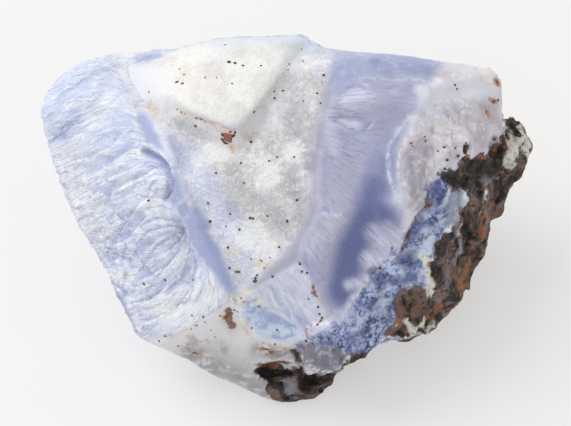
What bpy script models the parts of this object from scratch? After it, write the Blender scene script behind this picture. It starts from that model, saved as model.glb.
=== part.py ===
"""A rough piece of blue lace agate, one natural stone, standing on its broken underside.

The stone is described in the frame of its broad broken face: u to the right, v up the face and w out of it,
in millimetres. The finished stone is then tipped back until its base cut is level.
"""

import math

import bmesh
import bpy
from mathutils import Matrix, Vector, noise

MM = 0.001

# How the broad face sits over the base: its tip from level, and where its middle stands, (x, y, z)
FACE_TIP = math.radians(30)
FACE_MIDDLE_AT = Vector((-0.4, -3.7, 21.5))

# Mesh sizes
GRAIN = 0.42
MOST_TRIANGLES = 9600
BALL_STEPS = 5

# Corners of the stone's core, (u, v, w)
LEFT_RIM = [
    (-28.5, 11.7, -7.0), (-28.1, 13.7, -7.0), (-26.6, 15.5, -7.0), (-24.0, 17.6, -6.5), (-21.0, 18.7, -5.5),
    (-28.0, 9.6, -7.1), (-27.0, 7.3, -7.3), (-26.2, 2.9, -7.7), (-24.7, 0.0, -7.9), (-23.4, -2.7, -8.0),
    (-20.8, -9.1, -8.0), (-18.9, -12.4, -7.5), (-17.3, -14.4, -7.0), (-14.9, -15.7, -6.0),
]
TOP_RIM = [
    (-15.9, 17.6, -4.0), (-8.2, 19.4, -4.6), (1.9, 19.4, -4.0), (6.7, 18.1, -3.0),
    (11.2, 18.1, -3.6), (14.4, 18.1, -4.0), (17.8, 17.5, -4.6), (21.2, 16.5, -5.0), (24.4, 16.8, -6.0),
    (25.4, 15.2, -6.5), (25.4, 11.2, -7.0),
]
INNER_FACE = [
    (-15.2, 12.2, 1.0), (-11.5, 2.6, 2.4), (-7.0, -6.7, 1.6), (-5.5, -10.5, 0.6), (0.4, 15.9, 1.6),
    (5.3, 17.2, 0.0), (4.9, 11.6, 3.2), (3.6, 5.9, 4.2), (3.7, -1.0, 4.2), (1.5, -4.2, 3.4), (-2.8, -8.0, 2.0),
    (18.0, 14.0, -1.0), (14.0, 11.0, 1.8), (11.7, 7.4, 3.0), (12.2, 2.6, 3.0), (14.3, 0.1, 2.0),
    (18.8, 3.7, -0.2), (18.0, -0.2, -0.2), (17.4, -4.2, -1.2), (16.4, -8.8, -2.7), (13.3, -13.2, -4.2),
    (-9.9, -13.4, -2.5), (-2.8, -13.9, -1.5), (1.5, -15.1, -2.4), (6.1, -13.0, -0.8),
]
# Corners of the hidden back and of the base, (x, y, z) once the stone stands
BACK = [
    (-21.4, 11.8, 17.5), (-12.4, 16.3, 13.5), (-2.4, 17.6, 17.0), (9.6, 16.8, 14.5), (18.6, 13.3, 15.5),
    (22.1, 5.3, 12.0), (-20.8, 3.3, 10.5),
]
BASE = [
    (-7.9, -12.0, -0.6), (-13.0, -6.7, 0.8), (-14.6, 1.3, 1.6), (-8.4, 8.4, -0.8), (3.6, 9.8, 0.6),
    (13.0, 6.3, 0.8), (16.1, -0.7, -1.0), (12.6, -6.7, -1.0), (7.6, -11.2, -0.8), (-10.0, -3.0, -0.8),
]

# Slabs that stand on the core. Each has its edge corners, which get a bevelled skirt, and its inner corners
LEFT_SLAB_EDGE = [
    (-15.9, 12.2, 2.0), (-14.0, 8.2, 3.0), (-12.0, 2.6, 3.7), (-9.6, -1.7, 3.5), (-7.5, -6.7, 2.5), (-6.0, -10.5, 0.9),
]
LEFT_SLAB_INNER = [
    (-29.0, 11.7, -6.0), (-28.4, 13.8, -6.2), (-26.8, 15.7, -6.3), (-24.1, 17.8, -6.0), (-17.0, 18.2, -3.5),
    (-28.4, 9.5, -6.3), (-27.3, 7.3, -6.5), (-26.4, 2.9, -7.0), (-23.6, -2.7, -7.3), (-21.0, -9.1, -7.3),
    (-17.9, -14.2, -6.6), (-14.8, -15.7, -5.5),
    (-9.9, -13.4, -2.0), (-16.5, 16.0, -1.0), (-20.0, 5.0, -9.0), (-12.0, -5.0, -5.0),
]
LEFT_SLAB_SKIRT = (1.3, 1.4)
CROWN_EDGE = [
    (-15.2, 13.2, 1.9), (-12.4, 11.7, 3.6), (-9.3, 10.6, 4.6), (-5.6, 9.3, 5.4), (-2.9, 12.0, 4.4), (0.0, 16.0, 2.6),
]
CROWN_INNER = [
    (-12.4, 19.3, -4.2), (-8.2, 20.3, -4.4), (-4.2, 20.6, -4.2), (0.0, 20.4, -4.0), (2.1, 20.8, -4.4),
    (4.4, 19.3, -3.2), (-14.5, 16.8, -0.6), (-8.0, 18.9, 0.2), (-1.0, 19.2, 0.0), (-6.0, 14.0, -6.0),
]
CROWN_SKIRT = (1.4, 1.5)

# Lumps that grow out of the core
MATRIX_SIDE = [
    (26.6, 11.8, -10.0), (28.0, 10.0, -11.0), (28.8, 7.7, -11.5), (27.4, 5.4, -13.0), (24.3, 1.0, -14.0),
    (22.8, -5.8, -14.0), (21.9, -9.2, -13.0), (19.6, -11.9, -11.5), (16.4, -14.3, -9.5), (13.4, -15.8, -9.0),
    (23.2, 9.6, -4.8), (20.8, 6.0, -2.4),
    (18.4, 3.7, -1.0), (17.8, -4.2, -1.8), (16.4, -8.8, -3.2), (13.3, -13.2, -4.6), (10.9, -16.2, -8.0),
    (20.0, 2.0, -21.0), (14.0, -8.0, -17.0), (10.0, 0.0, -10.0), (22.0, 8.0, -19.0),
]
FRONT_FOOT = [
    (-14.9, -15.5, -6.0), (-10.2, -17.6, -7.4), (-6.0, -19.9, -9.0), (-3.1, -21.8, -10.6), (0.4, -22.6, -11.6),
    (3.4, -22.2, -11.8), (5.4, -20.3, -11.4), (6.4, -18.3, -10.0), (-9.9, -13.6, -3.0), (-2.8, -14.2, -2.2),
    (1.0, -15.4, -3.4), (4.0, -15.6, -6.6), (10.0, -15.6, -9.4), (-2.0, -21.8, -14.6), (3.6, -21.6, -14.6),
    (-6.0, -10.0, -16.0), (8.0, -10.0, -16.0),
]
RIM_LOBE = [
    (1.7, -15.8, -1.6), (3.0, -17.9, -2.7), (5.0, -18.6, -3.1), (7.0, -17.9, -3.4), (8.4, -16.2, -3.4),
    (6.1, -13.4, -0.4), (2.6, -13.8, -1.0), (4.9, -14.8, -7.0), (10.5, -13.0, -3.8), (12.5, -14.2, -4.6),
]

# Shell-shaped scars: where the hollow is deepest (u, v, w), radius, depth, the way the hollow faces
FACE_SCARS = [
    ((9.3, 8.8, 2.8), 26.0, 1.1, (0.22, 0.04, 1.0)),
    ((8.2, -6.4, 1.5), 24.0, 1.1, (0.28, -0.30, 1.0)),
    ((0.4, -11.4, 0.0), 16.0, 0.6, (0.05, -0.5, 1.0)),
    ((-19.0, 9.0, -0.6), 40.0, 0.5, (-0.5, 0.10, 1.0)),
    ((-15.8, -2.0, 0.7), 30.0, 0.5, (-0.62, -0.1, 1.0)),
    ((-12.6, -8.8, -0.4), 22.0, 0.5, (-0.5, -0.5, 1.0)),
    ((20.0, 11.0, -2.0), 22.0, 0.6, (0.62, 0.22, 1.0)),
    ((16.0, 6.0, 1.1), 14.0, 0.5, (0.5, 0.1, 1.0)),
    ((9.6, 16.6, 0.2), 16.0, 0.5, (0.1, 0.5, 1.0)),
    ((-20.6, 15.4, -3.4), 24.0, 0.5, (-0.3, 0.7, 0.9)),
    ((14.0, -6.6, 0.1), 14.0, 0.8, (0.6, -0.5, 0.9)),
]
# The same for the back, the sides and the underside, (x, y, z) once the stone stands
SIDE_SCARS = [
    ((-6.0, 15.8, 16.5), 26.0, 1.4, (-0.1, 1.0, -0.1)),
    ((10.6, 14.6, 16.5), 20.0, 1.3, (0.25, 1.0, 0.0)),
    ((-15.4, 12.0, 13.0), 20.0, 1.4, (-0.6, 0.8, -0.3)),
    ((4.6, 13.4, 6.5), 18.0, 1.3, (0.1, 1.0, -0.5)),
    ((-18.4, -1.2, 7.6), 24.0, 1.0, (-0.8, -0.25, -0.7)),
    ((-12.5, -9.8, 1.4), 16.0, 0.5, (-0.6, -0.6, -0.7)),
    ((19.1, 7.3, 6.0), 14.0, 1.2, (0.8, 0.5, -0.5)),
    ((5.5, 2.5, 0.0), 13.0, 0.7, (0.1, 0.1, -1.0)),
]
# Small hollows and crevices: (u, v, w of the middle), (half sizes), turn in the face's plane in degrees
HOLLOWS = [
    ((-0.4, -18.6, -7.0), (3.2, 1.2, 2.0), -8),
    ((3.2, -20.0, -9.2), (1.7, 1.3, 1.4), 0),
    ((0.9, -17.2, -4.8), (0.8, 1.3, 1.5), 25),
    ((4.8, -19.0, -6.9), (3.4, 1.3, 2.0), 12),
    ((11.5, -16.3, -7.2), (4.2, 1.0, 2.1), 22),
    ((24.4, 7.4, -7.2), (0.9, 2.4, 1.5), 35),
    ((26.2, 8.6, -8.8), (1.0, 1.5, 1.4), 20),
    ((20.6, -3.6, -6.6), (0.8, 2.8, 1.3), -12),
]

# Natural roughness: (size of the lumps, height)
CLEAN_LUMPS = [(7.0, 0.30), (2.4, 0.07)]
LEFT_LUMPS = [(2.0, 0.16)]
MATRIX_LUMPS = [(4.5, 1.0), (1.9, 0.8)]
# The matrix covers what lies to the right of a plane in the face's frame, and fades in over this width
MATRIX_NORMAL = Vector((0.80, -0.42, -0.42)).normalized()
MATRIX_START = 17.6
MATRIX_FADE = 1.6
# Ledges run down the left slab, from its lip towards the left rim
LEDGE_RISE = math.radians(25)
LEDGE_PITCH = 3.4
LEDGE_HEIGHT = 0.36
LEDGE_CLIFF = 0.25
LEDGE_WANDER = (5.5, 3.6)
LIP_TOP = Vector((-15.6, 12.2))
LIP_FOOT = Vector((-5.7, -10.5))
LEDGE_FADE = 1.5

STONE_COLOUR = (0.60, 0.63, 0.78, 1.0)
STONE_ROUGHNESS = 0.42


def clear_scene():
    for obj in list(bpy.data.objects):
        bpy.data.objects.remove(obj)


def face_to_standing():
    """From the face's frame to the frame of the standing stone, in millimetres."""
    return Matrix.Translation(FACE_MIDDLE_AT) @ Matrix.Rotation(FACE_TIP, 4, "X")


def in_face_frame(points):
    """Points of the standing stone, given in the face's frame."""
    back = face_to_standing().inverted()
    return [back @ Vector(p) for p in points]


def skirted(edge, inner, skirt):
    """A slab's corners, with a bevelled skirt below its edge."""
    out, down = skirt
    middle = sum((Vector(c) for c in inner), Vector()) / len(inner)
    corners = [Vector(c) for c in edge + inner]
    for corner in map(Vector, edge):
        away = (corner - middle).to_2d().normalized() * out
        corners.append(corner + Vector((*away, -down)))
        corners.append(corner + Vector((*(away * 1.2), -3 * down)))
    return corners


def link(mesh, name, collection):
    obj = bpy.data.objects.new(name, mesh)
    collection.objects.link(obj)
    return obj


def hull(name, corners, collection):
    """A block of stone with these corners."""
    bm = bmesh.new()
    for corner in corners:
        bm.verts.new(Vector(corner) * MM)
    made = bmesh.ops.convex_hull(bm, input=bm.verts)
    inside = {v for v in made["geom_interior"] + made["geom_unused"] if isinstance(v, bmesh.types.BMVert)}
    bmesh.ops.delete(bm, geom=list(inside), context="VERTS")
    bmesh.ops.recalc_face_normals(bm, faces=bm.faces)
    mesh = bpy.data.meshes.new(name)
    bm.to_mesh(mesh)
    bm.free()
    return link(mesh, name, collection)


def ball(name, centre, radii, turn, collection):
    """An ellipsoid that cuts a hollow, turned in the face's plane."""
    bm = bmesh.new()
    bmesh.ops.create_icosphere(bm, subdivisions=BALL_STEPS, radius=1)
    place = Matrix.Translation(Vector(centre) * MM) @ Matrix.Rotation(math.radians(turn), 4, "Z")
    place = place @ Matrix.Diagonal((*[r * MM for r in radii], 1))
    bmesh.ops.transform(bm, matrix=place, verts=bm.verts)
    mesh = bpy.data.meshes.new(name)
    bm.to_mesh(mesh)
    bm.free()
    return link(mesh, name, collection)


def add_boolean(obj, other, operation):
    modifier = obj.modifiers.new(other.name, "BOOLEAN")
    modifier.operation = operation
    modifier.object = other
    other.hide_render = True
    other.display_type = "WIRE"


def scar_cutters(collection):
    """One ball for each scar, sunk to the scar's depth, and one for each hollow."""
    turn = face_to_standing().to_3x3().inverted()
    scars = list(FACE_SCARS)
    for middle, radius, depth, facing in SIDE_SCARS:
        scars.append((in_face_frame([middle])[0], radius, depth, turn @ Vector(facing)))
    for index, (middle, radius, depth, facing) in enumerate(scars):
        out = Vector(facing).normalized()
        centre = Vector(middle) + out * (radius - depth)
        yield ball(f"scar_{index}", centre, (radius,) * 3, 0, collection)
    for index, (middle, radii, degrees) in enumerate(HOLLOWS):
        yield ball(f"hollow_{index}", middle, radii, degrees, collection)


def broken_block(helpers):
    """The fused blocks with the scars cut out, as one mesh of even grain."""
    core = hull("core", LEFT_RIM + TOP_RIM + INNER_FACE + in_face_frame(BACK + BASE), helpers)
    lumps = {
        "left_slab": skirted(LEFT_SLAB_EDGE, LEFT_SLAB_INNER, LEFT_SLAB_SKIRT),
        "crown": skirted(CROWN_EDGE, CROWN_INNER, CROWN_SKIRT),
        "matrix_side": MATRIX_SIDE,
        "front_foot": FRONT_FOOT,
        "rim_lobe": RIM_LOBE,
    }
    for name, corners in lumps.items():
        add_boolean(core, hull(name, corners, helpers), "UNION")
    for cutter in scar_cutters(helpers):
        add_boolean(core, cutter, "DIFFERENCE")
    grain = core.modifiers.new("grain", "REMESH")
    grain.mode = "VOXEL"
    grain.voxel_size = GRAIN * MM
    graph = bpy.context.evaluated_depsgraph_get()
    return bpy.data.meshes.new_from_object(core.evaluated_get(graph))


def ramp(value, width):
    """From 0 to 1 as the value goes from 0 to the width."""
    return min(1.0, max(0.0, value / width))


def lumps_at(point, sizes):
    return sum(noise.noise(point / size) * tall for size, tall in sizes)


def ledge_height(point):
    """Ledges across the left slab, each rising slowly and ending in a small cliff."""
    size, reach = LEDGE_WANDER
    across = point.x * math.sin(LEDGE_RISE) - point.y * math.cos(LEDGE_RISE)
    across += noise.noise(point / size) * reach
    step = (across / LEDGE_PITCH) % 1.0
    if step < 1 - LEDGE_CLIFF:
        level = step / (1 - LEDGE_CLIFF)
    else:
        level = (1 - step) / LEDGE_CLIFF
    strength = ramp(noise.noise(point / LEDGE_PITCH) + 0.25, 0.6)
    return (level * level * (3 - 2 * level) - 0.5) * LEDGE_HEIGHT * strength


def height_at(point, normal):
    """How far the surface stands proud at a point in the face's frame, in millimetres."""
    matrix = ramp(MATRIX_NORMAL.dot(point) - MATRIX_START, MATRIX_FADE)
    lip = LIP_FOOT - LIP_TOP
    past_lip = (point.to_2d() - LIP_TOP).cross(lip) / lip.length
    left = ramp(past_lip, LEDGE_FADE) * ramp(normal.z, 0.5)
    clean = lumps_at(point, CLEAN_LUMPS) + left * (ledge_height(point) + lumps_at(point, LEFT_LUMPS))
    return (1 - matrix) * clean + matrix * lumps_at(point, MATRIX_LUMPS)


def roughen(mesh):
    """Moves each vertex along its normal to the stone's natural surface."""
    bm = bmesh.new()
    bm.from_mesh(mesh)
    moves = [v.normal * height_at(v.co / MM, v.normal) * MM for v in bm.verts]
    for vert, move in zip(bm.verts, moves):
        vert.co += move
    bm.to_mesh(mesh)
    bm.free()


def lighten(mesh, helpers):
    """The same shape with large faces where the stone is plain and small ones along its edges."""
    obj = link(mesh, "fine_stone", helpers)
    fewer = obj.modifiers.new("fewer", "DECIMATE")
    mesh.calc_loop_triangles()
    fewer.ratio = MOST_TRIANGLES / len(mesh.loop_triangles)
    fewer.use_collapse_triangulate = True
    graph = bpy.context.evaluated_depsgraph_get()
    return bpy.data.meshes.new_from_object(obj.evaluated_get(graph))


def stand(mesh):
    """Tips the stone into place, cuts its base flat and centres it over the origin."""
    bm = bmesh.new()
    bm.from_mesh(mesh)
    place = face_to_standing()
    place.translation *= MM
    bmesh.ops.transform(bm, matrix=place, verts=bm.verts)
    everything = bm.verts[:] + bm.edges[:] + bm.faces[:]
    cut = bmesh.ops.bisect_plane(bm, geom=everything, plane_no=(0, 0, 1), clear_inner=True)
    rim = [e for e in cut["geom_cut"] if isinstance(e, bmesh.types.BMEdge)]
    bmesh.ops.triangle_fill(bm, edges=rim, use_beauty=True, use_dissolve=False)
    bmesh.ops.recalc_face_normals(bm, faces=bm.faces)
    xs = [v.co.x for v in bm.verts]
    ys = [v.co.y for v in bm.verts]
    middle = Vector(((min(xs) + max(xs)) / 2, (min(ys) + max(ys)) / 2, 0))
    bmesh.ops.translate(bm, verts=bm.verts, vec=-middle)
    bm.to_mesh(mesh)
    bm.free()


def stone_material():
    material = bpy.data.materials.new("agate")
    material.use_nodes = True
    surface = material.node_tree.nodes["Principled BSDF"]
    surface.inputs["Base Color"].default_value = STONE_COLOUR
    surface.inputs["Roughness"].default_value = STONE_ROUGHNESS
    surface.inputs["Metallic"].default_value = 0.0
    return material


def main():
    clear_scene()
    stone_parts = bpy.data.collections.new("blue_lace_agate")
    helpers = bpy.data.collections.new("cutters")
    bpy.context.scene.collection.children.link(stone_parts)
    bpy.context.scene.collection.children.link(helpers)
    fine = broken_block(helpers)
    roughen(fine)
    mesh = lighten(fine, helpers)
    stand(mesh)
    mesh.name = "agate_stone"
    mesh.materials.clear()
    mesh.materials.append(stone_material())
    link(mesh, "agate_stone", stone_parts)
    for helper in list(helpers.objects):
        bpy.data.objects.remove(helper)
    bpy.data.collections.remove(helpers)


main()
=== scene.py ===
"""Dresses the plain solid of a rough blue lace agate with its broken surfaces, colours and specks.

The stone is shaped in the frame of its broad broken face: u to the right, v up the face and w out of it,
in millimetres. Places on that face are given as the pixels where the photograph, 571 by 426, shows them.
"""

import math

import bmesh
import bpy
import numpy as np
from mathutils import Matrix, Vector, noise
from mathutils.bvhtree import BVHTree


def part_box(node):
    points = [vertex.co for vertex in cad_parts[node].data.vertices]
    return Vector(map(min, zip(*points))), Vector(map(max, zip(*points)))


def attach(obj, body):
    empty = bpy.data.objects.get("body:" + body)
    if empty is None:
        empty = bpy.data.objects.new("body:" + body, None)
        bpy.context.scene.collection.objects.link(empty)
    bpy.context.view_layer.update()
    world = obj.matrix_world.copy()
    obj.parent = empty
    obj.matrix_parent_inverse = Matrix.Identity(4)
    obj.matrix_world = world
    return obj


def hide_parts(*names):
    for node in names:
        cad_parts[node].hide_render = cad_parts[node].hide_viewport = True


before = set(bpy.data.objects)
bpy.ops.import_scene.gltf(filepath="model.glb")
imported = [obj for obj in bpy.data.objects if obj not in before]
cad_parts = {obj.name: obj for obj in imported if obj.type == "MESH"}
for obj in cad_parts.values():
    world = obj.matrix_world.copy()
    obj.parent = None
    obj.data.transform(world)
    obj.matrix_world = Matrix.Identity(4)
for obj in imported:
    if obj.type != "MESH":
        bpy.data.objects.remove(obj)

bl_info = {
    "name": "Rough blue lace agate",
    "version": (1, 0, 0),
    "blender": (4, 5, 0),
    "location": "3D View > Sidebar > Agate",
    "description": "Surface, grains and stage for a rough piece of blue lace agate",
    "category": "Object",
}

MM = 0.001
NODE = "agate_stone"
SURFACE = "agate_surface"

# How the broad face sits over the base, and where its middle stands, in millimetres
FACE_TIP = math.radians(30)
FACE_MIDDLE = Vector((-0.331, -3.192, 21.48))

# The photograph: its middle, the size of a pixel at the face's middle and the camera's distance, in millimetres
PHOTO_MIDDLE = (286.5, 213.0)
PIXEL = 0.1136
CAMERA_DISTANCE = 280.0

# Outlines of the stone's zones: x, y, x, y and so on, in pixels of the photograph
ZONES = {
    "crown": [
        128, 66, 140, 60, 160, 50, 180, 40, 215, 30, 255, 28, 300, 28, 322, 38, 309, 45, 298, 57, 289, 69, 278, 86,
        262, 108, 252, 127, 246, 134, 225, 131, 205, 121, 177, 110, 160, 118, 150, 106, 140, 92, 132, 78,
    ],
    "druse": [
        150, 108, 160, 119, 177, 110, 205, 121, 225, 131, 246, 134, 252, 126, 262, 107, 278, 85, 289, 68, 298, 56,
        310, 44, 322, 41, 334, 52, 335, 64, 326, 92, 318, 130, 311, 160, 312, 205, 303, 232, 288, 252, 268, 272,
        250, 288, 240, 297, 232, 280, 226, 262, 220, 244, 208, 230, 196, 212, 186, 196, 180, 178, 172, 158,
        163, 142, 156, 128,
    ],
    "bevel": [
        334, 50, 342, 58, 336, 90, 329, 120, 320, 160, 321, 212, 304, 243, 300, 262, 264, 286, 246, 300, 238, 297,
        268, 270, 288, 250, 302, 231, 311, 205, 310, 160, 317, 130, 325, 92, 333, 64,
    ],
    # The lip band: the stone's blue, darkened by painted shade as the band is turned away from the light
    "lip": [
        138, 106, 150, 110, 156, 128, 163, 142, 172, 158, 180, 178, 186, 196, 196, 212, 208, 230, 220, 243,
        226, 262, 232, 280, 240, 298, 233, 296, 222, 284, 210, 269, 200, 256, 190, 241, 187, 226, 178, 214,
        169, 201, 174, 190, 173, 171, 165, 153, 152, 143, 145, 131,
    ],
    "lavender": [
        322, 40, 340, 50, 366, 54, 410, 52, 446, 58, 432, 82, 418, 112, 409, 130, 402, 148, 399, 166, 402, 186,
        408, 206, 403, 246, 393, 250, 372, 274, 355, 298, 341, 324, 328, 316, 319, 297, 308, 273, 300, 262,
        304, 243, 321, 212, 320, 160, 329, 120, 336, 90, 342, 58,
    ],
    "top": [
        322, 40, 340, 50, 366, 52, 410, 50, 448, 58, 434, 80, 420, 80, 400, 76, 380, 77, 360, 79, 348, 86, 338, 96,
        330, 84, 334, 64,
    ],
    "grey": [
        446, 56, 475, 64, 505, 66, 512, 90, 505, 118, 510, 136, 496, 150, 478, 157, 464, 160, 450, 172, 438, 172,
        428, 182, 427, 200, 430, 208, 418, 217, 412, 230, 408, 240, 403, 250, 408, 206, 402, 186, 399, 166,
        402, 148, 409, 130, 418, 112, 432, 81,
    ],
    "blue": [
        443, 174, 465, 190, 462, 206, 450, 224, 443, 236, 435, 256, 428, 263, 432, 278, 430, 291, 402, 293,
        397, 322, 378, 350, 340, 362, 322, 376, 306, 366, 296, 348, 308, 336, 335, 322, 341, 324, 355, 298,
        372, 274, 393, 250, 403, 250, 412, 228, 428, 203, 430, 188,
    ],
    "lower": [
        240, 297, 262, 284, 300, 262, 308, 273, 319, 297, 328, 316, 334, 324, 308, 336, 293, 344, 262, 339,
        247, 330, 235, 307,
    ],
    "lace": [
        246, 291, 258, 297, 268, 307, 282, 317, 296, 325, 299, 334, 286, 340, 264, 337, 252, 328, 246, 312,
    ],
    "foot": [
        150, 340, 165, 338, 180, 335, 195, 327, 205, 318, 220, 310, 232, 304, 243, 318, 248, 330, 262, 339,
        293, 344, 296, 350, 303, 362, 312, 370, 300, 378, 320, 384, 330, 392, 316, 404, 290, 408, 240, 392,
        160, 354,
    ],
    "lobe": [
        297, 345, 304, 357, 314, 367, 326, 373, 338, 373, 345, 365, 349, 355, 340, 348, 322, 346, 308, 341,
    ],
    "crust": [
        508, 96, 504, 120, 501, 140, 493, 151, 478, 157, 465, 160, 455, 170, 443, 176, 455, 187, 466, 191, 466, 206,
        458, 222, 446, 232, 438, 246, 434, 257, 428, 263, 432, 277, 430, 290, 411, 289, 399, 296, 396, 318,
        386, 334, 400, 341, 425, 333, 448, 332, 490, 300, 545, 180, 545, 96,
    ],
}
# The crust below the lower edge, which the zones' outlines leave out
UNDERSIDE = [
    333, 373, 342, 364, 350, 356, 380, 351, 402, 345, 425, 335, 445, 328, 450, 350, 350, 388, 320, 410, 280, 406,
    268, 392, 258, 373, 266, 363, 290, 363, 303, 371, 312, 371, 322, 375,
]
# Where the plain solid's edges are rounded off further
SOFTENED = [
    116, 50, 150, 46, 168, 60, 160, 96, 150, 104, 136, 92, 124, 70,
]
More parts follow.
